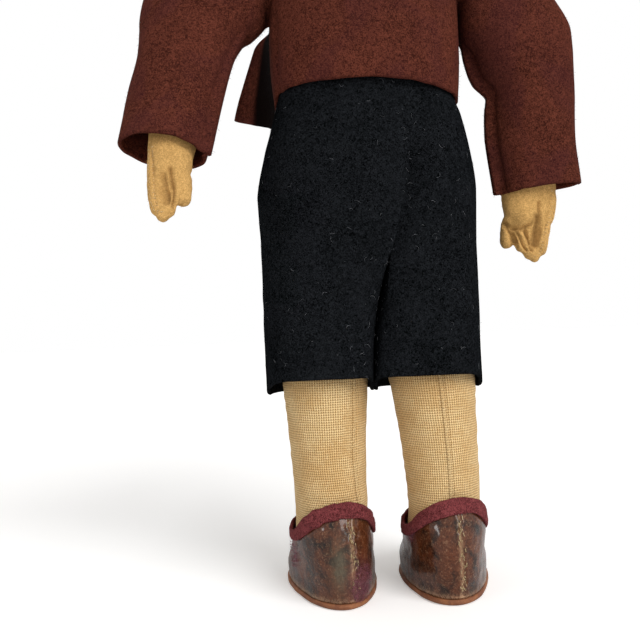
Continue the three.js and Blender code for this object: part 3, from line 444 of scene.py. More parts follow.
def felt(name, dark, pale, fleck, flecks=0.5, sheen=0.25, depth=0.3, tint=None, painted_shade=None, specular=0.1):
    """Matted wool: soft blotches of tone, fine tangled fibres and a few fibres of another tone."""
    s = Shader(name, 0.96, sheen=sheen, sheen_tint=pale, specular=specular)
    rest = s.rest()
    cloud = s.noise(rest, 14, 3, 0.55)
    matted = s.noise(rest, 2.0, 3, 0.65, 0.8)
    fibre = s.noise(rest, 0.85, 2, 0.7, 1.6)
    tone = s.weigh((cloud, 0.15), (matted, 0.2), (fibre, 0.95))
    colour = s.blend(dark, pale, tone, 0.49, 0.82)
    if tint:
        patches = s.noise(s.rest((1, 1, 0.8)), 20, 2, 0.5, 0.8)
        colour = s.blend(colour, tint, patches, 0.4, 0.68, 0, 0.35)
    hairs = s.noise(s.rest((1.0, 1.0, 0.4)), 0.9, 2, 0.5, 4.0)
    colour = s.blend(colour, fleck, hairs, 0.62, 0.76, 0, flecks)
    if painted_shade:
        # Painted shade: the colour darkens to this one, and the sheen fades, where the mark says.
        colour = s.mix(s.mark("painted_shade"), colour, painted_shade)
        s.put(s.surface.inputs["Sheen Weight"], s.ramp(s.mark("painted_shade"), 0, 0.8, sheen, 0))
    return s.finish(colour, s.bump(s.weigh((matted, 0.5), (fibre, 0.9)), depth))


def knit():
    """Fine machine knit: ribs of stitches round the leg, in the piece's own UV millimetres."""
    s = Shader("stocking_knit", 0.85, sheen=0.2, sheen_tint="#f0dcb8", specular=0.2)
    place = s.node("SeparateXYZ", {"Vector": s.node("UVMap", uv_map="UVMap").outputs[0]})
    round_leg, up_leg = place.outputs[0], place.outputs[1]
    rest = s.rest()
    waver = s.math("MULTIPLY", s.noise(rest, 6, 2), 1.6)
    wale = s.math("PINGPONG", s.math("ADD", round_leg, s.math("MULTIPLY", waver, 0.35)), 0.46)
    wale = s.ramp(wale, 0.0, 0.46)
    course = s.math("MULTIPLY_ADD", wale, 0.35, s.math("MULTIPLY_ADD", waver, 0.5, up_leg))
    course = s.ramp(s.math("PINGPONG", course, 0.5), 0.0, 0.5)
    stitch = s.weigh((wale, 0.5), (course, 0.5))
    tone = s.weigh((s.noise(rest, 0.8, 3), 0.55), (s.noise(rest, 12, 3), 0.45))
    colour = s.blend("#dcb37a", "#f4d6a1", tone, 0.36, 0.64)
    colour = s.blend(colour, "#9a7540", stitch, 0.15, 0.72, 1.0, 0.0)
    colour = s.marked("seam", colour, "#8c6a40", course, 0.0, 1.0, 0.7, 0.15)
    stain = s.math("MULTIPLY", s.mark("stain"), s.ramp(s.noise(rest, 1.2, 3), 0.3, 0.6))
    colour = s.mix(stain, colour, "#4a2c1a")
    return s.finish(colour, s.bump(stitch, 0.3))


def leather(name, dark, brown, worn, roughness, coat=0.0, specular=0.4):
    """Old leather: blotched colour, worn where the wear mark says, with fine grain and scuffs."""
    s = Shader(name, roughness, specular=specular, coat=coat)
    rest = s.rest()
    blotch = s.noise(rest, 7, 4, 0.62, 0.8)
    grain = s.cells(rest, 0.5)
    scuff = s.noise(s.rest((1, 1, 0.5)), 1.3, 5, 0.75, 1.8)
    speck = s.noise(rest, 0.9, 3, 0.7, 0.6)
    colour = s.blend(dark, brown, blotch, 0.3, 0.64)
    colour = s.blend(colour, dark, speck, 0.32, 0.5, 0.6, 0)
    colour = s.blend(colour, worn, speck, 0.54, 0.7, 0, 0.35)
    colour = s.blend(colour, worn, scuff, 0.6, 0.74, 0, 0.4)
    colour = s.marked("wear", colour, worn, scuff, 0.4, 0.56)
    colour = s.marked("stale", colour, "#5d5645", scuff, 0.32, 0.6, 0.35, 0.9)
    fuzz = s.math("MULTIPLY", s.mark("fuzz"), s.ramp(s.noise(rest, 0.8, 4, 0.7, 1.0), 0.25, 0.5))
    colour = s.mix(fuzz, colour, "#743f49")
    rough = s.math("MULTIPLY_ADD", s.noise(rest, 2.2, 4), 0.4, roughness - 0.2)
    rough = s.math("MULTIPLY_ADD", s.math("MAXIMUM", s.mark("fuzz"), s.mark("stale")), 0.4, rough)
    height = s.weigh((grain, 0.3), (scuff, 0.6), (blotch, 0.5))
    return s.finish(colour, s.bump(height, 0.3), rough)


def cotton():
    s = Shader("shirt_cotton", 0.85, sheen=0.15, specular=0.2)
    place = s.node("SeparateXYZ", {"Vector": s.rest()})
    warp = s.math("PINGPONG", s.math("ADD", place.outputs[0], place.outputs[1]), 0.25)
    weft = s.math("PINGPONG", place.outputs[2], 0.25)
    weave = s.math("ADD", s.math("MULTIPLY", warp, 2.0), s.math("MULTIPLY", weft, 2.0))
    tone = s.noise(s.rest(), 9, 4)
    colour = s.blend("#cfc5af", "#e2dac8", tone, 0.35, 0.65)
    colour = s.blend(colour, "#a89b82", weave, 0.1, 0.7, 0.35, 0.0)
    return s.finish(colour, s.bump(weave, 0.12))


def board():
    s = Shader("hardboard", 0.85, specular=0.2)
    fibre = s.noise(s.place(), 0.0006, 4)
    return s.finish(s.blend("#7a5c3a", "#a07f56", fibre, 0.3, 0.7), s.bump(fibre, 0.1))


def metal():
    s = Shader("pin_steel", 0.35, metallic=1.0, specular=0.5)
    scratch = s.noise(s.place(), 0.0012, 5)
    colour = s.blend("#8f9294", "#b9bbbc", scratch, 0.35, 0.7)
    return s.finish(colour, s.bump(scratch, 0.02), s.ramp(scratch, 0.3, 0.7, 0.28, 0.5))


def eye_glass():
    s = Shader("eye_glass", 0.1, specular=0.2, coat=0.2)
    return s.finish(s.blend("#0d0906", "#22170e", s.noise(s.place(), 0.002, 3), 0.4, 0.6))


def face_felt():
    """Painted felt: skin with warm cheeks, and lips and brows from their marks."""
    s = Shader("face_felt", 0.93, sheen=0.2, sheen_tint="#f2d9b8", specular=0.15)
    rest = s.rest()
    matted = s.noise(rest, 1.4, 4, 0.7, 0.6)
    fibre = s.noise(rest, 0.5, 3, 0.75, 1.5)
    tone = s.weigh((s.noise(rest, 18, 3), 0.5), (matted, 0.5))
    colour = s.blend("#c59a68", "#dcb385", tone, 0.36, 0.64)
    colour = s.marked("blush", colour, "#c8694e", matted, 0.2, 0.7, 0.35, 0.8)
    colour = s.mix(s.math("MULTIPLY", s.mark("lips"), 0.85), colour, "#9c3f34")
    colour = s.marked("brows", colour, "#4a3020", fibre, 0.2, 0.6, 0.5, 1.0)
    return s.finish(colour, s.bump(s.weigh((matted, 0.5), (fibre, 0.5)), 0.2))


def mohair():
    s = Shader("hair_mohair", 0.75, sheen=0.1, sheen_tint="#a07850", specular=0.08)
    streak = s.noise(s.rest((1, 1, 0.25)), 0.8, 4, 0.65, 0.8)
    tone = s.noise(s.rest(), 9, 3)
    colour = s.blend("#4a3220", "#8c6540", streak, 0.3, 0.7)
    colour = s.blend(colour, "#5a3d26", tone, 0.3, 0.7, 0.0, 0.4)
    return s.finish(colour, s.bump(streak, 0.4))


def thread(name, dark, pale):
    s = Shader(name, 0.85, sheen=0.1, specular=0.2)
    strand = s.noise(s.rest(), 0.35, 3, 0.6)
    return s.finish(s.blend(dark, pale, strand, 0.35, 0.65), s.bump(strand, 0.1))


# The skin's darker colour is painted shade in the hands' grooves.
SKIN = felt("skin_felt", "#b0884f", "#dcae6c", "#8f6838", flecks=0.3, sheen=0.15, painted_shade="#6f522c")
# The jacket's near-black colour is painted shade on the left front, under the arm.
JACKET = felt("jacket_felt", "#30150f", "#69372a", "#8e5a46", flecks=0.3, sheen=0.1,
              tint="#432023", painted_shade="#0c0504", specular=0.02)
SHORTS = felt("shorts_felt", "#020303", "#202225", "#434549", flecks=0.35, sheen=0.02, specular=0)
TRIM = felt("trim_felt", "#451a1c", "#8a4446", "#b07468", flecks=0.4, sheen=0.15, depth=0.45)
KNIT = knit()
SLIPPER = leather("slipper_leather", "#160a05", "#5c3019", "#b08c6c", roughness=0.34, coat=0.55,
                  specular=0.06)
SOLE = leather("sole_leather", "#6e3f28", "#96603c", "#55301c", roughness=0.7)
COTTON = cotton()
FACE = face_felt()
HAIR = mohair()
LINT = thread("lint", "#3d3e42", "#85868a")
STITCH = thread("stitch_thread", "#a5783f", "#e6cd9a")
FLECK = thread("seam_thread", "#85704e", "#cfb98f")
FLUFF = thread("fluff", "#66333c", "#9c5d68")
BOARD = board()
METAL = metal()
EYE = eye_glass()

for name, node in frame["nodes"].items():
    if name.endswith(("_washer", "_pin")):
        node.material_slots[0].material = METAL
    elif name.endswith("_disc"):
        node.material_slots[0].material = BOARD
    elif name.startswith("eye_"):
        node.material_slots[0].material = EYE

# Torso and shirt

SHOULDER_Z = 262
HIP_Z = 168
TORSO_LOW_Z, NECK_Z = 151, 285
FELT_THICK, SLEEVE_THICK, COTTON_THICK, KNIT_THICK, TONGUE_THICK = 1.6, 1.5, 0.9, 0.8, 0.75
torso_width = curve((151, 8), (156, 12), (188, 12), (192, 28.2), (214, 31.2), (262, 33.5), (272, 32.5),
                    (277, 27.5), (282.5, 14.6))
torso_depth = curve((151, 13), (156, 20), (168, 23.5), (188, 24), (196, 25.2), (214, 25.5), (242, 26.5),
                    (262, 24.5), (272, 22), (277, 18.5), (282.5, 14.6))
torso_square = curve((272, 2.6), (282.5, 2))


def torso_grid(zs, columns, offset):
    z = np.asarray(zs, float)[:, None]
    c, s = rounded(circle(columns), torso_square(z))
    return stack(c * (torso_width(z) + offset), s * (torso_depth(z) + offset), z)


def make_torso():
    grid = torso_grid(np.linspace(TORSO_LOW_Z, NECK_Z, 90), columns=96, offset=0)
    grid[-1, :, 2] = NECK_Z
    # Flat at each shoulder, where the arm's disc turns against it.
    x, y, z = np.moveaxis(grid, -1, 0)
    flat_x, half_deep, half_tall = 31, 19, 16.6
    side = (np.abs(x) > flat_x) & (np.abs(y) < half_deep) & (np.abs(z - SHOULDER_Z) < half_tall)
    grid[..., 0] = np.where(side, np.sign(x) * flat_x, x)
    points, faces = capped(grid)
    piece = make("torso_felt", points, faces, SKIN, ["torso"], "torso")


def cut_armholes(points, faces, radius, from_x):
    """Drops the faces inside an armhole, and moves the points left inside onto its edge."""
    within = (np.hypot(points[:, 1], points[:, 2] - SHOULDER_Z) < radius) & (np.abs(points[:, 0]) > from_x)
    faces = faces[~within[faces].all(axis=1)]
    points = points.copy()
    points[within, 1:] = [0, SHOULDER_Z] + unit(points[within, 1:] - [0, SHOULDER_Z]) * radius
    return used_only(points, faces)


def make_shirt():
    grid = torso_grid(np.linspace(198, 284, 70), columns=130, offset=1.2)
    grid[..., 0] += unit(grid)[..., 0] * wander(grid, 14, 3) * 0.05
    points, faces = cut_armholes(*open_cloth(grid, wrap=True), radius=16.2, from_x=24)
    points, faces = thicken(points, faces, COTTON_THICK, bulge=0.1)
    piece = make("shirt_cloth", points, faces, COTTON, ["shirt"], "torso")


def make_shirt_collar():
    low, top = 284.6, 291
    z = levels(low, top, 12)
    angle = np.radians(np.linspace(-80, 260, 120))
    radius = 16.3 + (z - low) / 6.4 * 0.7
    grid = stack(radius * np.cos(angle), radius * np.sin(angle), z)
    grid[..., 2] += smoothstep(z, 286, top) * 0.25 * np.sin(angle * 3)
    points, faces = thicken(*open_cloth(grid), COTTON_THICK, bulge=0.1)
    piece = make("shirt_collar_cloth", points, faces, COTTON, ["shirt_collar"], "torso")


make_torso()
make_shirt()
make_shirt_collar()

# Legs, stockings and slippers share one form

form_back = curve((2.5, 17.6), (12, 20.2), (26, 19), (42, 15), (60, 16.2), (112, 17.2))
form_front = curve((2.5, -43), (8, -45), (14, -42), (19, -34), (25, -24), (32, -17.5), (42, -14),
                   (60, -15.2), (112, -17.2))
form_heel = curve((2.5, 13.2), (14, 13.5), (30, 12.4), (42, 14.2), (66, 15.1), (90, 17), (112, 17.4))
form_ball = curve((2.5, 16), (9, 16.6), (16, 14.5), (24, 15), (42, 14.2), (66, 15.1), (90, 17), (112, 17.4))


class Leg:
    """A foot and lower leg, as the doll's left one: mirrored for the right."""

    def __init__(self, side, sign, foot, ankle, knee, toe_out, heel_seam, stocking_seam):
        self.side, self.sign, self.body = side, sign, f"leg_{side}"
        self.centre = curve((14, foot), (45, ankle), (112, knee))
        self.knee = knee
        self.toe_out = math.radians(toe_out)
        self.heel_seam, self.stocking_seam = math.radians(heel_seam), math.radians(stocking_seam)

    def form(self, z, angle, offset):
        """A point at each height and angle, where angle 0 is the back."""
        back, front = form_back(z) + offset, form_front(z) - offset
        share = (1 - np.cos(angle)) / 2
        half = lerp(form_heel(z), form_ball(z), smoothstep(share, 0.15, 0.75)) + offset
        x, y = half * np.sin(angle), back + (front - back) * share
        turn = self.toe_out * (1 - smoothstep(z, 30, 60))
        c, s = np.cos(turn), np.sin(turn)
        return stack(self.centre(z) + x * c - y * s, x * s + y * c, z)

    def away(self, grid):
        """Level directions away from the leg's middle."""
        return unit((grid - stack(self.centre(grid[..., 2]), 0, 0)) * [1, 1, 0])

    def topline(self, angle, offset):
        """The height of the slipper's top edge, which peaks at the heel seam."""
        z = np.full_like(angle, 24.0)
        angle = angle - self.heel_seam * np.cos(angle / 2) ** 2
        for _ in range(40):
            z = lerp(z, topline(self.form(z, angle, offset)[..., 1]), 0.5)
        return z


LEGS = [
    Leg("left", 1, foot=20.8, ankle=22.2, knee=22.4, toe_out=8, heel_seam=-15, stocking_seam=-40),
    Leg("right", -1, foot=26.2, ankle=25.8, knee=21.2, toe_out=2, heel_seam=13, stocking_seam=4),
]
topline = curve((-26, 28), (-16, 24), (-8, 22), (2, 24.5), (12, 30.5), (20, 36.5))
KNEE_Z, LEG_X = 112, 23.4
# How far each layer stands out from the foot's own form.
STOCKING_OUT, TONGUE_OUT, LINING_OUT, UPPER_OUT = 1.1, 2.2, 2.6, 3.7


def make_leg(leg):
    angle = circle(64)[None, :]
    lower = leg.form(levels(4.9, KNEE_Z, 70), angle, 0)
    # Height, inner side, half width and half depth.
    thigh = np.array([
        [124, leg.knee - 17.2, 17.4, 17.4],
        [142, 8, 16.6, 17.6],
        [154, 9.5, 16, 17.6],
        [168, 10, 15.6, 17.6],
        [176, 10, 15.2, 15.7],
        [182, 10, 13, 10.6],
        [185, 10.5, 7, 4.2],
    ])
    low, top = 118, 185
    z = levels(low, top, 44)
    inner, half_width, half_depth = (curve(*thigh[:, [0, k]])(z) for k in (1, 2, 3))
    c, s = rounded(math.pi / 2 - angle, 2.3)
    upper = stack(inner + half_width + half_width * c, half_depth * s, z)
    upper[0] = lerp(lower[-1], upper[0], 0.5) * [1, 1, 0] + [0, 0, low]
    # Flat inside at the hip, where the leg's disc turns against the torso's.
    flat_x, flat_radius = 12.3, 34
    flat = np.hypot(upper[..., 1], upper[..., 2] - HIP_Z) < flat_radius
    upper[..., 0] = np.where(flat, np.maximum(upper[..., 0], flat_x), upper[..., 0])
    points, faces = mirrored(*capped(np.concatenate([lower, upper])), leg.sign)
    piece = make(f"{leg.body}_felt", points, faces, SKIN, [leg.body], leg.body)


def make_stocking(leg):
    """Knitted stocking with a back seam, where its edges are drawn together into a small ridge."""
    turn = np.linspace(0, 2 * math.pi, 150)[None, :]
    turn = turn - 0.6 * np.sin(turn)
    z = levels(3.8, KNEE_Z, 190)
    grid = leg.form(z, turn + leg.stocking_seam, STOCKING_OUT)
    # The seam's stitches zigzag, so its ridge wanders from side to side.
    zigzag_wide, zigzag_long = 0.28, 2.1
    zigzag = zigzag_wide * np.sin(z * 2 * math.pi / zigzag_long)
    across = np.where(turn > math.pi, turn - 2 * math.pi, turn) * 16 - zigzag
    shown = smoothstep(z, 20, 30)
    ridge = 0.45 * peak(across, 0.5) - 0.3 * peak(np.abs(across), 0.5, 1.15)
    sag = wander(grid, 11, 4) * 0.35 * shown + wander(grid * [1, 1, 2.4], 6, 9) * 0.2 * shown
    grid = pushed(grid, leg.away(grid), ridge * shown + sag)
    points, faces = open_cloth(grid, leg.sign, LEG_X)
    seam = (peak(np.abs(across), 0.4, 0.9) * shown).ravel()
    uv = stack(turn * 16.2, z).reshape(-1, 2)
    from_stain = np.linalg.norm((points - [27.5, 15.5, 63.5]) * [1, 1, 0.55], axis=1)
    stain = 0.95 * peak(from_stain, 0.9) * (leg.side == "left")
    count = len(points)
    points, faces = thicken(points, faces, KNIT_THICK, bulge=0.05)
    rim = np.array([np.argmin(((points[:count] - p) ** 2).sum(1)) for p in points[2 * count :]])
    uv, stain, seam = (np.concatenate([v, v, v[rim]]) for v in (uv, stain, seam))
    piece = make(f"stocking_{leg.side}_knit", points, faces, KNIT,
                 [f"stocking_{leg.side}"], leg.body, marks={"stain": stain, "seam": seam}, uv=uv)


def make_upper(leg):
    rows, columns = 60, 240
    angle = np.linspace(0, 2 * math.pi, columns, endpoint=False)[None, :]
    angle = angle - 0.6 * np.sin(angle)
    share = levels(0, 1, rows)
    outer = leg.form(lerp(2.5, leg.topline(angle, UPPER_OUT), share), angle, UPPER_OUT)
    inner = leg.form(lerp(3.5, leg.topline(angle, LINING_OUT), share), angle, LINING_OUT)
    seed = 2 if leg.sign > 0 else 6
    lumps = wander(outer, 9, seed) * 0.3 + wander(outer, 3.2, seed + 1) * 0.16
    lumps = lumps + wander(outer, 1.4, seed + 2) * 0.06
    # The two halves of the leather meet in a drawn-in, cracked seam up the heel.
    back = (np.angle(np.exp(1j * (angle - leg.heel_seam)))) * 14 + 0.35 * np.sin(outer[..., 2] * 1.1)
    seam = -0.5 * peak(back, 0.4) + 0.3 * peak(np.abs(back), 0.7, 1.1)
    tuck = 0.5 * (peak(share, 0.08) - 1) - 0.35 * peak(share, 0.05, 1)
    outer = pushed(outer, leg.away(outer), lumps + seam * smoothstep(share, 0.02, 0.12) + tuck)
    points = np.concatenate([outer.reshape(-1, 3), inner[::-1].reshape(-1, 3)])
    skin = grid_faces(2 * rows, columns, wrap=True)
    points = np.concatenate([points, [outer[0].mean(0)], [inner[0].mean(0)]])
    first, last = np.arange(columns), np.arange(columns) + (2 * rows - 1) * columns
    faces = np.concatenate([skin, reverse(fan(first, len(points) - 2)), fan(last, len(points) - 1)])
    points, faces = mirrored(points, outward(points, faces), leg.sign)
    surface = mirror(outer.reshape(-1, 3), leg.sign)
    seam_line = np.abs(back).ravel() < 1.1
    extras = seam_flecks(surface[seam_line], leg)
    fluff = fluff_on(surface, leg)
    points, faces, part = joined((points, faces), *extras, *fluff)
    index = np.where(part == 0, 0, np.where(part <= len(extras), 1, 2))
    make(f"slipper_{leg.side}_leather", points, faces, [SLIPPER, FLECK, FLUFF],
         [f"slipper_upper_{leg.side}"], leg.body, indices=index, marks=slipper_marks(leg, points))


def seam_flecks(line, leg):
    """What is left of the pale thread in the heel seam."""
    chance = np.random.default_rng(41 + leg.sign)
    line = line[(line[:, 1] > 0) & (line[:, 2] > 5)]
    flecks = []
    for k in chance.integers(len(line), size=62):
        t = levels(-0.5, 0.5, 5)
        along = unit(np.array([chance.uniform(-0.5, 0.5), 0, 1.0]))
        path = line[k] + [0, 0.12, 0] + along * t * chance.uniform(0.5, 1.7)
        flecks.append(tube_along(path, chance.uniform(0.1, 0.22), sides=4))
    return flecks


FLUFF_PATCHES = {
    "left": [((12.5, 15, 10), (5.5, 9, 9), 450), ((39.5, -2, 16), (3, 8, 6), 60)],
    "right": [((-10.5, 2, 26), (3, 8, 5), 40)],
}


def fluff_on(surface, leg):
    """Fluff from old felt, caught on the leather in patches."""
    chance = np.random.default_rng(51 + leg.sign)
    fibres = []
    for centre, size, count in FLUFF_PATCHES[leg.side]:
        near = surface[(((surface - centre) / size) ** 2).sum(1) < 1]
        out = unit((near - [leg.sign * leg.centre(20.0), -8, 0]) * [1, 1, 0])
        for k in chance.integers(len(near), size=count):
            aside = unit(chance.normal(size=3))
            t = levels(0, 1, 6)
            length = chance.uniform(0.8, 2.6)
            path = near[k] + (out[k] * (0.5 * np.sin(math.pi * t)) + aside * (t - 0.5)) * length
            fibres.append(tube_along(path + out[k] * 0.1, chance.uniform(0.05, 0.1), sides=3))
    return fibres


def rubbed(wear):
    """The marks of leather that is only worn."""
    return {"wear": wear, "fuzz": wear * 0, "stale": wear * 0}


def slipper_marks(leg, points):
    """Where the leather is worn pale, stale and green, and where old felt fluff clings to it."""
    x, y, z = points.T
    heel = smoothstep(y, 8, 18)
    seam_x = {"left": 14.6, "right": -28.6}[leg.side]
    seam = peak(x, 0.9, seam_x) * heel
    toe = smoothstep(-y, 34, 46) * 0.5
    low = peak(z, 1.3, 3) * 0.5
    wear = np.clip(seam * 0.7 + toe + low, 0, 1)
    stale = np.exp(-(((x - 20) / 3.2) ** 2) - ((z - 17) / 9) ** 2) * heel * (leg.side == "left")
    fluff = 0 * x
    for (cx, cy, cz), (wide, deep, tall), _ in FLUFF_PATCHES[leg.side]:
        spread = ((x - cx) / wide) ** 2 + ((y - cy) / deep) ** 2 + ((z - cz) / tall) ** 2
        fluff = fluff + np.exp(-1.4 * spread)
    return {"wear": wear, "stale": stale, "fuzz": np.clip(fluff, 0, 1)}


def make_trim(leg):
    """A band of plum felt, bound over the slipper's top edge."""
    columns, around = 240, 20
    angle = np.linspace(0, 2 * math.pi, columns, endpoint=False)
    angle = angle - 0.5 * np.sin(angle)
    top = leg.topline(angle, 3.35)
    c, s = rounded(np.arange(around)[:, None] * 2 * math.pi / around, 3.4)
    ragged = wander(stack(angle * 14, 0.0, 0.0 * angle), 2.6, 8 if leg.sign > 0 else 12)
    half_height = lerp(2.7, 3.1, (1 + np.cos(angle)) / 2)
    height = top + half_height - 0.2 + (half_height + 0.4 * ragged) * s
    offset = 3.45 + 0.85 * c
    grid = np.stack([leg.form(height[k], angle, offset[k, 0]) for k in range(around)])
    grid = pushed(grid, leg.away(grid), 0.25 * wander(grid, 2.0, 5) + 0.12 * wander(grid, 0.9, 6))
    points = mirror(grid.reshape(-1, 3), leg.sign)
    faces = outward(points, torus_faces(around, columns))
    fibres = fuzz_on(points, faces, count=240, seed=61 + leg.sign, shortest=0.5, longest=1.3, radius=0.035)
    points, faces, part = joined((points, faces), *fibres)
    make(f"slipper_trim_{leg.side}_felt", points, faces, [TRIM, FLUFF],
         [f"slipper_trim_{leg.side}"], leg.body, indices=(part > 0).astype(int))


def torus_faces(rows, columns):
    i, j = np.arange(rows)[:, None], np.arange(columns)[None, :]
    below, after = (i + 1) % rows, (j + 1) % columns
    faces = [i * columns + j, i * columns + after, below * columns + after, below * columns + j]
    return np.stack(np.broadcast_arrays(*faces), axis=-1).reshape(-1, 4)


def fuzz_on(points, faces, count, seed, shortest, longest, radius):
    """Fine fibres that stand a little off cloth."""
    chance = np.random.default_rng(seed)
    normals = vertex_normals(points, faces)
    fibres = []
    t = levels(0, 1, 5)
    for _ in range(count):
        k = chance.integers(len(points))
        along = unit(normals[k] * chance.uniform(0.2, 0.9) + unit(chance.normal(size=3)))
        aside = unit(chance.normal(size=3))
        length = chance.uniform(shortest, longest)
        path = points[k] + along * t * length + aside * t * t * length * 0.4
        fibres.append(tube_along(path, chance.uniform(0.6, 1.0) * radius, sides=3))
    return fibres


def make_tongue(leg):
    across = np.linspace(-1, 1, 44)[None, :]
    angle = math.pi + across * 1.05
    top = 40 - 4.5 * np.abs(across) ** 2.6
    grid = leg.form(lerp(25.2, top, levels(0, 1, 30)), angle, TONGUE_OUT)
    grid[..., 1] = np.minimum(grid[..., 1], -7.05)
    grid = pushed(grid, leg.away(grid), 0.25 * wander(grid, 6, 2))
    points, faces = thicken(*open_cloth(grid, leg.sign, LEG_X), TONGUE_THICK, bulge=0.1)
    make(f"slipper_tongue_{leg.side}_leather", points, faces, SOLE,
         [f"slipper_tongue_{leg.side}"], leg.body, marks=rubbed(np.full(len(points), 0.25)))


# The height of each ring of the sole, and how far it stands out from the foot.
SOLE_RINGS = [(0, 3.6), (0.25, 4.1), (0.9, 4.35), (1.5, 4.3), (2.0, 4.1), (2.2, 3.7)]


def make_sole(leg):
    foot_low = np.full((1, 1), 2.5)
    grid = np.stack([leg.form(foot_low, circle(150)[None, :], offset)[0] for _, offset in SOLE_RINGS])
    grid[..., 2] = [[z] for z, _ in SOLE_RINGS]
    centre = grid.mean((0, 1)) * [1, 1, 0]
    grid = pushed(grid, unit((grid - centre) * [1, 1, 0]), 0.25 * wander(grid * [1, 1, 3], 5, 4))
    points, faces = mirrored(*capped(grid), leg.sign)
    wear = np.clip(smoothstep(points[:, 2], 0.5, 0.0), 0, 1) * 0.5
    make(f"slipper_sole_{leg.side}_leather", points, faces, SOLE,
         [f"slipper_sole_{leg.side}"], leg.body, marks=rubbed(wear))


for leg in LEGS:
    make_leg(leg)
    make_stocking(leg)
    make_upper(leg)
    make_trim(leg)
    make_tongue(leg)
    make_sole(leg)

# Shorts: two halves that meet down the middle

shorts_width = curve((149, 45.9), (168, 46.2), (185, 43.2), (198, 39.9), (204.4, 37.8), (212, 36),
                     (221, 35.6))
shorts_depth = curve((128, 24.5), (150, 26.4), (168, 29.5), (186, 30.5), (203.4, 28.9), (212, 28.6),
                     (221, 28.4))
shorts_shift = curve((168, 1.8), (198, 0.5), (206, 1), (212, 1.1))
# Where the two halves meet at the back: a crease that leans to the right as it rises.
shorts_middle = curve((85, 1.8), (103, 0.9), (115, -0.7), (129, -3.2), (144, -6.3), (156, -9), (171, -12.2),
                      (184, -13.5), (200, -11), (221, -8))
HEM_Z, HEM_LIFT, WAIST_Z = 85, 7.5, 221


def shorts_middle_at(z, y, depth, sign):
    """Where a half's inner wall lies, in its own side's sense: bowed, so that no light shows between."""
    back = smoothstep(y / depth, -0.2, 0.75)
    apart = lerp(0.03, -0.4, smoothstep(z, 140, 162))
    bow = 1.4 * np.cos(np.clip(y / depth, -1, 1) * math.pi / 2) * (1 - smoothstep(z, 140, 165))
    return sign * (shorts_middle(z) * back + bow) + apart


def shorts_point(z, turn, sign):
    """A half of the shorts, in its own side's sense. Turn runs from the outer side (0) by the back."""
    width = shorts_width(z) + sign * shorts_shift(z)
    depth = shorts_depth(z)
    # Below the crotch: round outside and nearly square inside.
    c, s = rounded(turn, 2.4)
    c_in, s_in = rounded(turn, 5.5)
    tube_y = depth * np.where(np.cos(turn) > 0, s, s_in)
    mid = shorts_middle_at(z, tube_y, depth, sign)
    centre = (width + mid) / 2
    tube_x = centre + np.where(np.cos(turn) > 0, c * (width - centre), c_in * (centre - mid))
    tube = stack(tube_x, tube_y, z)
    # Above it: three quarters of the ring follow the hips, and the rest is the wall down the middle.
    sweep = np.angle(np.exp(1j * turn))
    c_hip, _ = rounded(np.clip(np.abs(sweep) / (0.75 * math.pi), 0, 1) * math.pi, 2.2)
    past = np.clip((np.abs(sweep) / math.pi - 0.75) / 0.25, 0, 1)
    hip_mid = np.where(sweep > 0, sign * shorts_middle(z), 0) - 0.4
    hip_centre = (width + hip_mid) / 2
    hip_x = hip_centre + c_hip * np.where(c_hip > 0, width - hip_centre, hip_centre - hip_mid)
    from_middle = np.abs(hip_x - sign * shorts_shift(z)) / (width - sign * shorts_shift(z))
    edge_y = depth * (1 - np.clip(from_middle, 0, 1) ** 2.6) ** (1 / 2.6)
    hips = stack(hip_x, np.sign(sweep) * edge_y * (1 - past), z)
    return lerp(tube, hips, smoothstep(z, 112, 152)[..., None]), past


def make_shorts(side, sign):
    rows, columns = 150, 220
    turn = np.linspace(0, 2 * math.pi, columns, endpoint=False)[None, :]
    turn = turn + 0.25 * np.sin(turn)
    z = levels(HEM_Z, WAIST_Z, rows)
    grid, past = shorts_point(z, turn, sign)
    middle = sign * shorts_middle(z)
    near = peak(grid[..., 0], 7.0, middle) * smoothstep(grid[..., 1], 4, 18)
    window = smoothstep(z, 84, 110) * (1 - smoothstep(z, 166, 190))
    # The left half swells over the crease and the right half sinks behind it.
    grid[..., 1] += near * window * (1.0 if sign > 0 else -2.4)
    lift = smoothstep(grid[..., 1], -4, 24.5) * HEM_LIFT
    grid[..., 2] += lift * (1 - smoothstep(z, HEM_Z, 150))
    out = unit((grid - [LEG_X, 0, 0]) * [1, 1, 0])
    low = 1 - smoothstep(z, 150, 200)
    soft = wander(grid * [1, 1, 0.45], 17, 2 + sign) * 0.9 * (0.3 + 0.7 * low)
    soft = soft + wander(grid, 6, 5) * 0.14
    soft = soft * smoothstep(grid[..., 0] - middle, 1, 9)
    grid = pushed(grid, out, soft)
    points = mirror(grid.reshape(-1, 3), sign)
    faces = grid_faces(rows, columns, wrap=True)
    wall = np.broadcast_to((past > 0.35) & (z > 163), (rows, columns)).ravel()
    faces = faces[~wall[faces].any(axis=1)]
    faces = facing_out(points, faces, x=sign * LEG_X)
    points, faces = used_only(points, faces)
    cloth = thicken(points, faces, FELT_THICK, bulge=0.35)
    lint = lint_on(cloth[0][: len(points)], faces, count=230, seed=30 + sign)
    fibres = fuzz_on(points, faces, count=500, seed=70 + sign, shortest=0.4, longest=1.1, radius=0.03)
    points, faces, part = joined(cloth, *lint, *fibres)
    index = np.where((part > 0) & (part <= len(lint)), 1, 0)
    piece = make(f"shorts_{side}_felt", points, faces, [SHORTS, LINT],
                 [f"shorts_leg_{side}"] + (["shorts_seat"] if sign > 0 else []), indices=index)
    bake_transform(piece)


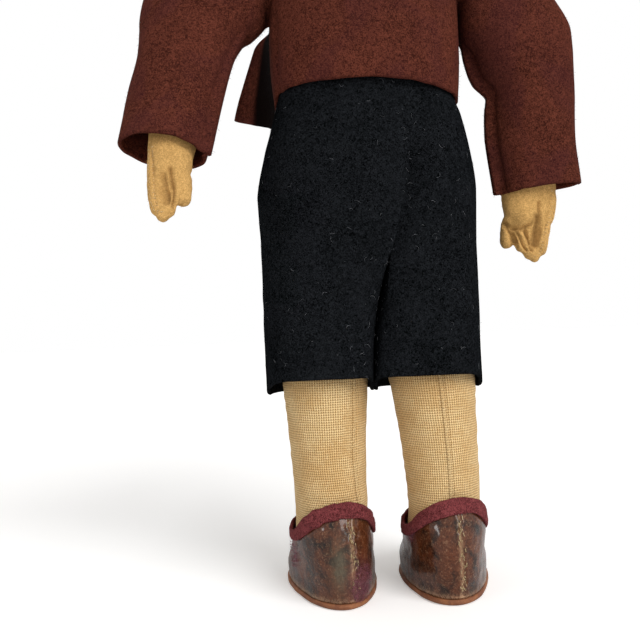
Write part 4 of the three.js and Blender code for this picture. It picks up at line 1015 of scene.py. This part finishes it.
def lint_on(points, faces, count, seed):
    """Short curled fibres lying on cloth."""
    chance = np.random.default_rng(seed)
    normals = vertex_normals(points, faces)
    fibres = []
    t = levels(-0.5, 0.5, 6)
    for _ in range(count):
        k = chance.integers(len(points))
        normal = normals[k]
        along = unit(np.cross(normal, chance.normal(size=3)))
        aside = np.cross(normal, along)
        length, bend = chance.uniform(0.5, 2.8), chance.uniform(-1.5, 1.5)
        path = points[k] + normal * (0.1 + 0.2 * t * t) + along * t * length + aside * bend * t * t * length
        fibres.append(tube_along(path, chance.uniform(0.03, 0.065), sides=3))
    return fibres


for side, sign in SIDES:
    make_shorts(side, sign)

# Jacket: a back and two fronts, with the left front turned out at the hem

JACKET_HEM_Z = 209.4
JACKET_HEM_WIDTH = 38.1
JACKET_TOP_Z = 287
jacket_width = curve((204.4, 38.1), (222.4, 39.5), (243, 39.4), (262, 39), (274, 38.4), (281, 34),
                     (284.5, 27), (287, 18.4))
jacket_depth = curve((242, 31), (262, 29.5), (276, 24.5), (287, 18.4))
jacket_square = curve((274, 2.6), (287, 2))
FLAP_EDGE = -86


def jacket_point(z, degrees, lift=0.0):
    angle = np.radians(degrees)
    c, s = rounded(angle, jacket_square(z))
    width, depth = jacket_width(z) + lift, jacket_depth(z) + lift
    wrapped = stack(c * width, s * depth, z)
    share = np.clip(degrees / FLAP_EDGE, 0, 1)
    out = 22.5 * np.clip(1 - (z - JACKET_HEM_Z) / 66, 0, 1)
    quarter = share * math.pi / 2
    turned = stack(width + out * (1 - np.cos(quarter)), (lift - 39) * np.sin(quarter), z)
    open_share = (1 - smoothstep(z, 246, 282)) * smoothstep(share * 46, 0, 12)
    return lerp(wrapped, turned, open_share[..., None])


flap_hem = curve((0, 204.4), (0.12, 203.4), (0.3, 202.6), (0.5, 206.4), (0.75, 210.6), (1, 213.3))


def jacket_hem(degrees):
    """The hem hangs lower at both side seams and towards the right, and dips where the front turns out."""
    rightwards = np.minimum(np.cos(np.radians(degrees)), 0)
    back = JACKET_HEM_Z + 0.13 * JACKET_HEM_WIDTH * rightwards - 5 * (1 - smoothstep(degrees, 0, 24))
    return np.where(degrees < 0, flap_hem(np.clip(degrees / FLAP_EDGE, 0, 1)), back)


def painted_arm_shade(points):
    """Painted shade on the jacket's left front, where the left arm lies against it and keeps the light off
    it.
    """
    x, y, z = points.T
    edge = 52.3 - 0.13 * (z - 207)
    below = 1 - smoothstep(z, 250, 264)
    across = (1 - smoothstep(x - edge, -1.5, 2)) * smoothstep(x, 32, 37)
    return across * smoothstep(-y, 0, 3) * smoothstep(y, -38, -33) * below


def make_jacket_panel(name, node, low, high, columns, seed):
    degrees = np.linspace(low, high, columns)[None, :]
    hem_z = jacket_hem(degrees)
    z = lerp(hem_z, JACKET_TOP_Z, levels(0, 1, 90))
    grid = jacket_point(z, degrees)
    out = unit(grid * [1, 1, 0])
    hem = 1 - smoothstep(z, hem_z, hem_z + 26)
    waves = wander(grid * [1, 1, 0.5], 15, seed) * 0.6 + wander(grid, 5, seed + 1) * 0.13
    calm = smoothstep(np.minimum(degrees - low, high - degrees), 0, 8)
    grid = pushed(grid, out, waves * calm * (0.4 + 0.6 * hem))
    grid[..., 2] += 0.35 * wander(stack(degrees / 9.0, 0, 0), 1.0, seed + 2) * hem * calm
    if node == "jacket_back":
        # The left side seam's edge lies over the back as a low ridge, with a groove beside it.
        ridge = 0.45 * (1 - smoothstep(degrees, 15, 23)) - 0.8 * peak(degrees, 3.5, 26)
        grid = pushed(grid, out, ridge * (1 - smoothstep(z, 232, 252)))
    points, faces = cut_armholes(*open_cloth(grid), radius=19, from_x=28)
    cloth = thicken(points, faces, FELT_THICK, bulge=0.4)
    return make_fuzzy(name, cloth, len(points), faces, 600, seed, [node], "torso")


def make_fuzzy(name, cloth, count, outer_faces, fibres, seed, nodes, body):
    """Felt whose face and cut edges carry short fibres."""
    fibres = fuzz_on(cloth[0][:count], outer_faces, fibres, 80 + seed, shortest=0.4, longest=1.2,
                     radius=0.045)
    points, faces, _ = joined(cloth, *fibres)
    painted_shade = np.zeros(len(points))
    # The left front's outer face gets painted shade beside the side seam, under the arm.
    if name == "jacket_front_left_felt":
        painted_shade = painted_arm_shade(points)
        painted_shade[count : 2 * count] = 0
    return make(name, points, faces, JACKET, nodes, body, marks={"painted_shade": painted_shade})


back = make_jacket_panel("jacket_back_felt", "jacket_back", 0.3, 179.7, 150, 3)
left = make_jacket_panel("jacket_front_left_felt", "jacket_front_left", FLAP_EDGE, -0.3, 80, 8)
right = make_jacket_panel("jacket_front_right_felt", "jacket_front_right", 180.3, 264, 80, 12)


def make_jacket_collar():
    lift = 1.9
    degrees = np.linspace(-68, 248, 130)[None, :]
    low = lerp(276, 283.4, np.cos(np.radians(degrees)) ** 2)
    z = lerp(low, 286.6, levels(0, 1, 16))
    grid = jacket_point(z, degrees, lift) + [0, 0, lift]
    grid = pushed(grid, unit(grid * [1, 1, 0]), 0.2 * wander(grid, 8, 4))
    points, faces = open_cloth(grid)
    cloth = thicken(points, faces, FELT_THICK, bulge=0.4)
    piece = make_fuzzy("jacket_collar_felt", cloth, len(points), faces, 200, 9, ["jacket_collar"], "torso")


make_jacket_collar()

# Arms, hands and sleeves, made hanging straight and then swung to where the doll holds them

# Each sleeve row gives the outer end of a ring and then its inner end, each as x and z, its half depth,
# and how much its inner side is pinched into a seam.
SHOULDER_ROWS = [[34.4, 280.7, 34.4, 243.3, 18.7, 0], [39.6, 280.7, 39.6, 243.3, 18.7, 0]]
ARMS = {
    "left": {
        "sign": 1, "swing": 25, "elbow": 72.5, "wrist": (77, 170), "palm": 8.1,
        "fingers": [(81, 79.2, 141.4), (79, 77.1, 138.8), (76.8, 75.2, 140.6), (74.8, 74.5, 145)],
        "thumb": [(72.4, 163), (71.3, 147.9)],
        "grooves": [
            ([(77.8, 158), (76.8, 152), (75.8, 147)], 1.9, 1.5),
            ([(75.4, 161), (73.8, 151), (73, 145)], 1.9, 0.8),
            ([(83, 170), (81.2, 156.6), (79.4, 146)], 0.6, 0.5),
            ([(71.2, 166), (71.3, 154)], -0.9, 2.2),
        ],
        "sleeve": [
            [58, 279, 41, 240, 18.5, 0],
            [75, 273, 42.5, 236.5, 18, 0],
            [87, 262, 45, 233, 17.2, 0],
            [91.5, 247, 48.5, 229.5, 16.4, 0.2],
            [92.3, 221.5, 53.5, 215, 14.5, 0.5],
            [95, 200, 57.2, 196.5, 12.5, 0.7],
            [97.4, 177.5, 61.4, 170.3, 11.5, 0.7],
        ],
    },
    "right": {
        "sign": -1, "swing": 0, "elbow": 69, "wrist": (67.6, 166), "palm": 11.3,
        "fingers": [(73.2, 69.9, 138), (70.2, 67.6, 135.3), (67, 65.4, 136.6), (64, 62.3, 140)],
        "thumb": [(59.3, 155), (56.9, 142.6)],
        "grooves": [
            ([(70, 161), (69.5, 156)], 1.5, 0.8),
            ([(69.3, 155), (68.6, 149), (67.4, 144)], 2.6, 1.5),
            ([(55.7, 153.5), (58.9, 150.8), (62.7, 150.4), (66.5, 151.9), (68.3, 155.2)], 1.7, 0.9),
            ([(60.5, 149), (62.6, 144.5), (63.8, 141.5)], 1.8, 0.7),
            ([(63.8, 150), (65.2, 145.5), (66.2, 141.5)], 1.8, 0.7),
            ([(56.3, 152), (58.9, 148.5), (59.7, 142.5)], 1.8, 0.8),
            ([(60.5, 158.4), (63, 156.6)], -1.6, 4.5),
            ([(75.8, 164.5), (73.2, 155.8), (71.9, 147.5), (69.5, 141)], 0.4, 0.6),
        ],
        "sleeve": [
            [56.5, 276, 40.5, 236, 18.5, 0],
            [70.3, 264, 41.2, 229, 18, 0.3],
            [80.8, 249.5, 42.5, 221, 17.2, 1],
            [88, 236, 45.5, 212.5, 16.4, 1],
            [89, 225, 50.8, 206.5, 15.4, 1],
            [89.2, 213, 50, 200.5, 14.5, 1],
            [88.8, 190, 49.7, 189.6, 12.5, 1],
            [89.6, 169.5, 52.4, 165.8, 11.5, 1],
        ],
    },
}


def swung(points, arm):
    """From the straight left arm to this arm's own side and swing."""
    turn = math.radians(arm["swing"])
    x, y, z = np.moveaxis(points, -1, 0)
    up = z - SHOULDER_Z
    return stack(arm["sign"] * x, y * math.cos(turn) - up * math.sin(turn),
                 SHOULDER_Z + y * math.sin(turn) + up * math.cos(turn))


def between(keys, steps, count):
    """Six columns of numbers between the key rows, which lie the given steps apart, evenly spaced."""
    at = np.concatenate([[0], np.cumsum(steps)])
    even = np.linspace(0, at[-1], count)
    return [curve(*np.stack([at, keys[:, k]], axis=-1))(even)[:, None] for k in range(6)]


def arm_rings(keys, angle):
    """Rings across the arm's path, from rows of x, z, tilt, half width, half depth and y."""
    keys = np.array(keys, float)
    steps = np.hypot(np.diff(keys[:, 0]), np.diff(keys[:, 1])) + np.abs(np.diff(keys[:, 2])) * 0.12 + 0.5
    x, z, tilt, half_width, half_depth, y = between(keys, steps, 90)
    lean = np.radians(tilt)
    across = half_width * np.cos(angle)
    return stack(x + across * np.sin(lean), y + half_depth * np.sin(angle), z + across * np.cos(lean))


def make_sleeve(side, arm):
    """A stiff felt sleeve with its seam pinched into a flat ridge along the inner side."""
    count, columns = 130, 180
    keys = np.array(SHOULDER_ROWS + arm["sleeve"], float)
    outer, inner = keys[:, 0:2], keys[:, 2:4]
    steps = np.linalg.norm(np.diff((outer + inner) / 2, axis=0), axis=1)
    ox, oz, ix, iz, depth, ridge = between(keys, steps, count)
    angle = np.linspace(0, 2 * math.pi, columns, endpoint=False)
    angle = (angle + 0.72 * np.sin(angle))[None, :]
    across = np.cos(angle)
    centre = stack((ox + ix) / 2, 0, (oz + iz) / 2)
    y = depth * np.sin(angle)
    grid = centre + stack((ox - ix) / 2 * across, y, (oz - iz) / 2 * across)
    inward = unit(stack(ix - ox, 0, iz - oz))
    inner_side = smoothstep(-across, 0.0, 0.9)
    seam_y = 1.6
    fin = (1 - smoothstep(np.abs(y - seam_y), 1.1, 1.9)) * inner_side
    groove = peak(np.abs(y - seam_y), 0.9, 2.6) * inner_side
    grid = pushed(grid, inward, ridge * (3.4 * (fin - inner_side) - 0.7 * groove))
    away = unit(grid - centre)
    seed = 3 if side == "left" else 7
    folds = wander(grid * [1, 0.6, 0.8], 16, seed) * 0.7 + wander(grid, 5, seed + 1) * 0.14
    calm = smoothstep(np.arange(count), 8, 30)[:, None] * (1 - fin)
    grid = pushed(grid, away, folds * calm)
    edge = smoothstep(np.arange(count), count - 8, count - 1)[:, None]
    grid[..., 2] += edge * 0.35 * wander(stack(angle * 3, 0, 0), 1.0, seed)
    points = grid.reshape(-1, 3)
    faces = grid_faces(count, columns, wrap=True)
    normals = vertex_normals(points, faces)
    faces = reverse(faces) if (normals * away.reshape(-1, 3)).sum() < 0 else faces
    outer_faces = faces
    cloth, faces = thicken(points, faces, SLEEVE_THICK, bulge=0.4)
    if arm["sign"] < 0:
        faces, outer_faces = reverse(faces), reverse(outer_faces)
    piece = make_fuzzy(f"sleeve_{side}_felt", (swung(cloth, arm), faces), len(points), outer_faces, 1500,
                       seed, [f"sleeve_{side}"], f"arm_{side}")


def bar(root, tip, radii, bow=(0, 0, 0), sides=18, steps=16):
    """A stuffed finger from root to tip, with radii from one to the other and a rounded end."""
    root, tip, bow = (np.asarray(v, float) for v in (root, tip, bow))
    t = np.linspace(0, 1, steps)
    t = np.concatenate([t[:-1], 1 - np.geomspace(1 / steps, 0.004, 6)[1:], [1.0]])
    path = root + (tip - root) * t[:, None] + bow * (4 * t * (1 - t))[:, None]
    size = np.interp(t, np.linspace(0, 1, len(radii)), radii)
    length = np.linalg.norm(tip - root)
    rest = np.clip((1 - t) * length / size, 0, 1)
    size = size * np.sqrt(np.clip(1 - (1 - rest) ** 2, 0.0004, 1))
    return swept(path, size, sides, aside=[0, 1.0, 0])


def to_polyline(places, line):
    """Distance in the x-z plane from each place to a broken line."""
    line = np.asarray(line, float)
    best = np.full(len(places), 1e9)
    flat = places[:, [0, 2]]
    for a, b in zip(line[:-1], line[1:]):
        t = np.clip(((flat - a) * (b - a)).sum(1) / ((b - a) ** 2).sum(), 0, 1)
        best = np.minimum(best, np.linalg.norm(flat - (a + t[:, None] * (b - a)), axis=1))
    return best


def make_arm(side, arm):
    elbow, (wrist_x, wrist_z), palm = arm["elbow"], arm["wrist"], arm["palm"]
    knuckle_z = wrist_z - 12.6
    bend_x, bend_z, thick = 40.6, 246.4, 15.6
    over = [(15.6, 0.42, 24, 15.2, 15), (15, 0.84, 48, 14.6, 13.8), (14, 1.19, 68, 13.6, 12.6)]
    # From the disc the arm runs level, bends over at the shoulder, and hangs down to the fingers' roots.
    keys = [
        [31.35, SHOULDER_Z, 0, thick, thick, 0],
        [bend_x, SHOULDER_Z, 0, thick, thick, 0],
        *([bend_x + reach * math.sin(turn), bend_z + reach * math.cos(turn), tilt, wide, deep, 0]
          for reach, turn, tilt, wide, deep in over),
        [elbow - 5, 229.7, 74, 12.2, 11.8, 0],
        [elbow, 213, 82, 11.2, 11.2, 0],
        [(elbow + wrist_x) / 2, (213 + wrist_z) / 2, 88, 10.6, 9.8, 0],
        [wrist_x, wrist_z, 90, palm + 0.4, 7, 0],
        [wrist_x, wrist_z - 6, 90, palm, 6.6, 0.4],
        [wrist_x, knuckle_z, 90, palm * 0.86, 5.8, 0.8],
        [wrist_x, knuckle_z - 4, 90, palm * 0.62, 4.4, 1.4],
        [wrist_x - 1.5, knuckle_z - 9, 90, palm * 0.3, 2.4, 2.4],
    ]
    parts = [capped(arm_rings(keys, circle(48)[None, :]))]
    for place, (root_x, tip_x, tip_z) in enumerate(arm["fingers"]):
        # The outermost finger is one long roll that starts at the wrist.
        root = (root_x + 1.4, 2.4, knuckle_z + 14) if place == 0 else (root_x - 0.6, 1.0, knuckle_z + 8)
        tip = (tip_x, 5.2, tip_z + 0.9)
        parts.append(bar(root, tip, [2.0, 2.6, 2.7, 2.2], bow=(0.8 - 0.5 * place, -0.6, 0)))
    # A web joins the fingertips.
    (_, first_x, first_z), (_, last_x, last_z) = arm["fingers"][0], arm["fingers"][3]
    root, tip = (last_x + 0.6, 4.8, last_z + 2.6), (first_x - 0.4, 4.8, first_z + 2.6)
    parts.append(bar(root, tip, [1.9, 2.3, 2.3, 1.9], bow=(0, 0, -1.4)))
    (root_x, root_z), (tip_x, tip_z) = arm["thumb"]
    parts.append(bar((root_x, 0.5, root_z), (tip_x, 2.0, tip_z), [3.4, 3.3, 3.1, 2.6], bow=(-0.6, 0, 0)))
    points, faces = fused(parts, voxel=0.5, smooth=13)
    normals = vertex_normals(points, faces)
    palm_side = smoothstep(normals[:, 1], 0.0, 0.6)
    dent, swell = np.zeros(len(points)), np.zeros(len(points))
    for line, depth, width in arm["grooves"]:
        near = peak(to_polyline(points, line), width) * palm_side
        dent = np.maximum(dent, depth * near)
        swell = np.maximum(swell, -depth * near)
    push = swell - dent
    # Painted shade darkens the felt along the grooves, more where they are deeper.
    groove_shade = dent * 0.22
    hand = 1 - smoothstep(points[:, 2], wrist_z - 2, wrist_z + 8)
    push += hand * (0.22 * wander(points, 3.2, 6) + 0.12 * wander(points, 1.3, 8))
    points = points + normals * push[:, None]
    stitches = hand_stitches(points, faces, arm)
    bare = used_only(points, faces[points[faces[:, 0], 2] < wrist_z])
    fibres = fuzz_on(*bare, count=350, seed=90 + arm["sign"], shortest=0.3, longest=0.9, radius=0.03)
    points, faces, part = joined((points, faces), *stitches, *fibres)
    points = swung(points, arm)
    faces = faces if arm["sign"] > 0 else reverse(faces)
    index = ((part > 0) & (part <= len(stitches))).astype(int)
    groove_shade = np.concatenate([np.clip(groove_shade, 0, 0.75), np.zeros(len(points) - len(groove_shade))])
    piece = make(f"arm_{side}_felt", points, faces, [SKIN, STITCH], [f"arm_{side}"],
                 f"arm_{side}", indices=index, marks={"painted_shade": groove_shade})


def hand_stitches(points, faces, arm):
    """Whip stitches over the seam that runs down the hand's outer edge."""
    normals = vertex_normals(points, faces)
    stitches = []
    low, high, apart = min(z for *_, z in arm["fingers"]) + 3, arm["wrist"][1] + 2, 1.35
    for z in np.arange(low, high, apart):
        level = np.abs(points[:, 2] - z) < 0.5
        if not level.any():
            continue
        x, y, _ = points[level].T
        for inset, tilt in ((1.3, 0.5), (3.0, -0.5)):
            near = np.argmin(np.abs(x - (x.max() - inset)) - 0.2 * y)
            base, normal = points[level][near], normals[level][near]
            along = unit(np.array([0.55, 0, tilt + 0.4]))
            along = unit(along - normal * (along @ normal))
            t = levels(-0.5, 0.5, 5)
            path = base + normal * (0.16 - 0.9 * t * t) + along * t * 1.3
            stitches.append(tube_along(path, 0.14, sides=5))
    return stitches


for side, arm in ARMS.items():
    make_sleeve(side, arm)
    make_arm(side, arm)

# Head, face and hair

HEAD_Z, HEAD_HEIGHT, HEAD_TOP_Z = 285, 62, 347
HEAD_SHAPE = [(0.145, 0.67), (0.226, 0.84), (0.371, 0.965), (0.58, 1), (0.774, 0.923), (0.903, 0.72),
              (0.968, 0.42), (1, 0.15)]


def head_z(share):
    return HEAD_Z + share * HEAD_HEIGHT


def head_profile(half):
    neck = [(HEAD_Z, 13.2), (head_z(0.097), 13.5)]
    return curve(*neck, *[(head_z(share), size * half) for share, size in HEAD_SHAPE])


head_width, head_depth = head_profile(26), head_profile(27)
NOSE_Z, EYE_Z, EYE_X = 311.5, 319.1, 9.2


def face_relief(x, z):
    """How far the face stands forward of the plain head."""
    unit_size = 2.6

    def bump(height, cx, cz, wide, tall):
        spread = ((x - cx) / (wide * unit_size)) ** 2 + ((z - cz) / (tall * unit_size)) ** 2
        return height * unit_size * np.exp(-spread)

    nose = bump(2, 0, NOSE_Z, 1.4, 1.8) + bump(0.7, 0, NOSE_Z + 6, 1.1, 2.3)
    cheeks = sum(bump(0.54, s * 12, NOSE_Z - 3.9, 2.7, 2.3) for s in (-1, 1))
    sockets = sum(bump(-0.54, s * EYE_X, EYE_Z, 1.7, 1.4) for s in (-1, 1))
    chin = bump(0.85, 0, head_z(0.21), 2.7, 1.5)
    mouth = bump(0.46, 0, head_z(0.306), 2.3, 1)
    return nose + cheeks + sockets + chin + mouth


def head_point(z, angle, offset):
    c, s = rounded(angle, 2.2)
    x, y = c * (head_width(z) + offset), s * (head_depth(z) + offset)
    forward = smoothstep(-y / 27, 0.3, 0.74)
    return stack(x, y - face_relief(x, z) * forward, z)


def make_head():
    low = 285.3
    z = low + (HEAD_TOP_Z - low) * (1 - (1 - levels(0, 1, 120)) ** 1.25)
    grid = head_point(z, circle(150)[None, :], 0)
    x, _, zz = np.moveaxis(grid, -1, 0)
    front = grid[..., 1] < 0
    # The painted mouth's line is pressed in, and a lid fold runs over each eye.
    lip_z = head_z(0.306)
    line = peak(zz - lip_z - 0.02 * x * x, 0.5) * (1 - smoothstep(np.abs(x), 3.5, 5.5)) * front
    grid[..., 1] += 0.5 * line
    from_eye = (np.hypot(x - s * EYE_X, (zz - EYE_Z) * 1.1) for s in (-1, 1))
    lid = sum(peak(away, 0.6, 3.5) for away in from_eye) * front
    grid[..., 1] -= 0.35 * lid * (zz > EYE_Z - 1)
    points, faces = capped(grid)
    px, py, pz = points.T
    ahead = py < 0
    blush = sum(np.exp(-(((px - s * 13) / 5) ** 2) - ((pz - 308) / 4) ** 2) for s in (-1, 1)) * ahead
    rise = pz - lip_z - 0.02 * px * px
    upper = 1.3 * (1 - np.clip(np.abs(px) / 5.2, 0, 1) ** 1.7) - 0.3 * peak(px, 0.9)
    lower = 1.7 * (1 - np.clip(np.abs(px) / 4.3, 0, 1) ** 2)
    shape = np.abs(rise) / np.maximum(np.where(rise > 0, upper, lower), 0.05)
    lips = (1 - smoothstep(shape, 0.75, 1.15)) * ahead * (np.abs(px) < 5.4)
    arch = EYE_Z + 6.1 - 0.07 * (np.abs(px) - EYE_X) ** 2
    span = smoothstep(np.abs(px), 4.2, 5.6)
    brows = peak(pz, 0.7, arch) * span * (1 - smoothstep(np.abs(px), 13.5, 15))
    marks = {"blush": blush, "lips": lips, "brows": brows * ahead}
    piece = make("head_felt", points, faces, FACE, ["head"], "head", marks=marks)


def make_ear(side, sign):
    angle = circle(40)[None, :]
    lift = levels(-1, 1, 26) * math.pi / 2
    ball = stack(np.cos(lift) * np.cos(angle), np.cos(lift) * np.sin(angle), np.sin(lift))
    x, y, z = np.moveaxis(ball, -1, 0)
    # The rim curls round a hollow that faces outwards and forwards.
    hollow = np.exp(-(((y + 0.15) / 0.42) ** 2) - ((z - 0.1) / 0.5) ** 2) * (x > 0)
    x = x * (1 - 0.75 * hollow)
    grid = stack(26.5 + 3.4 * x, -1.1 + 4.4 * y * (1 + 0.12 * z), 312.9 + 6.5 * z)
    points, faces = mirrored(*capped(grid), sign)
    blank = np.zeros(len(points))
    marks = {"blush": blank + 0.15, "lips": blank, "brows": blank}
    piece = make(f"ear_{side}_felt", points, faces, FACE, [f"ear_{side}"], "head", marks=marks)


hairline = curve((-54, head_z(0.79)), (-19, head_z(0.79)), (-5.1, head_z(0.6)), (1.9, head_z(0.435)),
                 (8.1, head_z(0.274)), (11.9, head_z(0.21)), (54, head_z(0.194)))


def make_hair():
    """A mohair wig: a cap, and combed locks over it."""
    rows, columns = 70, 140
    angle = circle(columns)[None, :]
    base = head_point(np.full((1, 1), 312.0), angle, 0)
    low = hairline(base[..., 1])
    share = levels(0, 1, rows)
    z = lerp(low, HEAD_TOP_Z, 1 - (1 - share) ** 1.2)
    grid = head_point(z, angle, 2.2)
    grid[..., 2] += 2.2 * smoothstep(z, head_z(0.64), head_z(0.95))
    away = unit(grid - stack(0, 0, 318.0))
    comb = wander(grid * [1, 1, 0.22], 2.6, 3) * 0.7 + wander(grid * [1, 1, 0.3], 7, 4) * 0.6
    grid = pushed(grid, away, comb * smoothstep(share, 0, 0.15))
    inner = head_point(z, angle, 0.3)
    points = np.concatenate([grid.reshape(-1, 3), inner[::-1].reshape(-1, 3)])
    faces = torus_faces(2 * rows, columns).reshape(2 * rows, columns, 4)
    faces = np.delete(faces, rows - 1, axis=0).reshape(-1, 4)
    tops = []
    for ring, middle in ((np.arange(columns) + (rows - 1) * columns, grid[-1].mean(0)),
                         (np.arange(columns) + rows * columns, inner[-1].mean(0))):
        points = np.concatenate([points, [middle]])
        tops.append(fan(ring, len(points) - 1))
    faces = outward(points, np.concatenate([faces, tops[0], reverse(tops[1])]))
    points, faces, _ = joined((points, faces), *hair_locks(grid, away, count=560))
    make("hair_mohair", points, faces, HAIR, ["hair"], "head")


def hair_locks(grid, away, count):
    """Tapering locks that run down the cap from the crown."""
    chance = np.random.default_rng(9)
    rows, columns = grid.shape[:2]
    locks = []
    for number in range(count):
        j = chance.integers(columns)
        # The first third start low, to thicken the hairline.
        start_share = (0.15, 0.4) if number < 0.35 * count else (0.45, 1.0)
        start = int(chance.uniform(*start_share) * (rows - 1))
        length = int(chance.uniform(0.35, 0.6) * rows)
        end = max(start - length, 0)
        t = np.linspace(start, end, 9).astype(int)
        drift = (np.linspace(0, chance.uniform(-5, 5), 9) + j).astype(int) % columns
        path = grid[t, drift] + away[t, drift] * (0.25 + 0.5 * np.sin(np.linspace(0, math.pi, 9)))[:, None]
        if end == 0:
            path[-3:, 2] -= [0.3, 0.9, chance.uniform(1, 2.6)]
            path[-3:] -= away[t[-3:], drift[-3:]] * 0.3
        locks.append(tube_along(path, chance.uniform(0.35, 0.8), sides=5))
    return locks


make_head()
make_hair()
for side, sign in SIDES:
    make_ear(side, sign)

# Floor, light and camera


def make_stage():
    s = Shader("studio_floor", 0.9, specular=0.1)
    colour = s.mix(s.noise(s.place(), 0.3, 3), "#fafafa", "#fcfcfc")
    # A little light for the camera alone keeps the floor as white as the world behind it.
    seen = s.node("LightPath").outputs["Is Camera Ray"]
    glow = s.math("MULTIPLY", seen, 0.3)
    s.fill(s.surface, {"Emission Color": (1, 0.97, 0.93, 1), "Emission Strength": glow})
    material = s.finish(colour)
    just_under_the_soles = (0, 0, -0.0002)
    bpy.ops.mesh.primitive_plane_add(size=8, location=just_under_the_soles)
    floor = bpy.context.object
    floor.name = "studio_floor"
    floor.data.materials.append(material)


AMBIENT = 0.42


def make_world():
    """White to the camera and in reflections, and a plain level of light on everything else."""
    world = bpy.data.worlds.new("studio")
    world.use_nodes = True
    bpy.context.scene.world = world
    tree = world.node_tree
    background = tree.nodes["Background"]
    path = tree.nodes.new("ShaderNodeLightPath")
    seen = path.outputs["Is Camera Ray"]
    for ray in ("Is Glossy Ray", "Is Transmission Ray"):
        either = tree.nodes.new("ShaderNodeMath")
        either.operation = "MAXIMUM"
        tree.links.new(seen, either.inputs[0])
        tree.links.new(path.outputs[ray], either.inputs[1])
        seen = either.outputs[0]
    strength = tree.nodes.new("ShaderNodeMapRange")
    tree.links.new(seen, strength.inputs["Value"])
    strength.inputs["To Min"].default_value = AMBIENT
    strength.inputs["To Max"].default_value = 1.0
    tree.links.new(strength.outputs[0], background.inputs["Strength"])
    background.inputs["Color"].default_value = (1, 1, 1, 1)


def sun(name, direction, size, strength):
    """Soft even light from a direction, given as a vector towards the lamp."""
    data = bpy.data.lights.new(name, "SUN")
    data.angle = math.radians(size)
    data.energy = strength
    light = bpy.data.objects.new(name, data)
    bpy.context.scene.collection.objects.link(light)
    light.rotation_euler = Vector(direction).to_track_quat("Z", "Y").to_euler()


def make_camera():
    """The place, direction and angle of view that the doll was seen from, with a slight roll."""
    place, roll_degrees = [23.5, 320, 116], -2.5
    data = bpy.data.cameras.new("camera")
    data.sensor_width, data.lens, data.clip_start = 36, 42.1875, 0.01
    camera = bpy.data.objects.new("camera", data)
    bpy.context.scene.collection.objects.link(camera)
    look = Matrix.Rotation(math.pi, 4, "Z") @ Matrix.Rotation(math.pi / 2, 4, "X")
    roll = Matrix.Rotation(math.radians(roll_degrees), 4, "Z")
    camera.matrix_world = Matrix.Translation(Vector(to_frame(place))) @ look @ roll
    bpy.context.scene.camera = camera


make_stage()
make_world()
sun("key", direction=(-0.52, 0.66, 0.55), size=40, strength=2.3)
sun("rim", direction=(0.85, 0.6, 0.22), size=12, strength=0.4)
make_camera()
bpy.context.scene.view_settings.view_transform = "Standard"
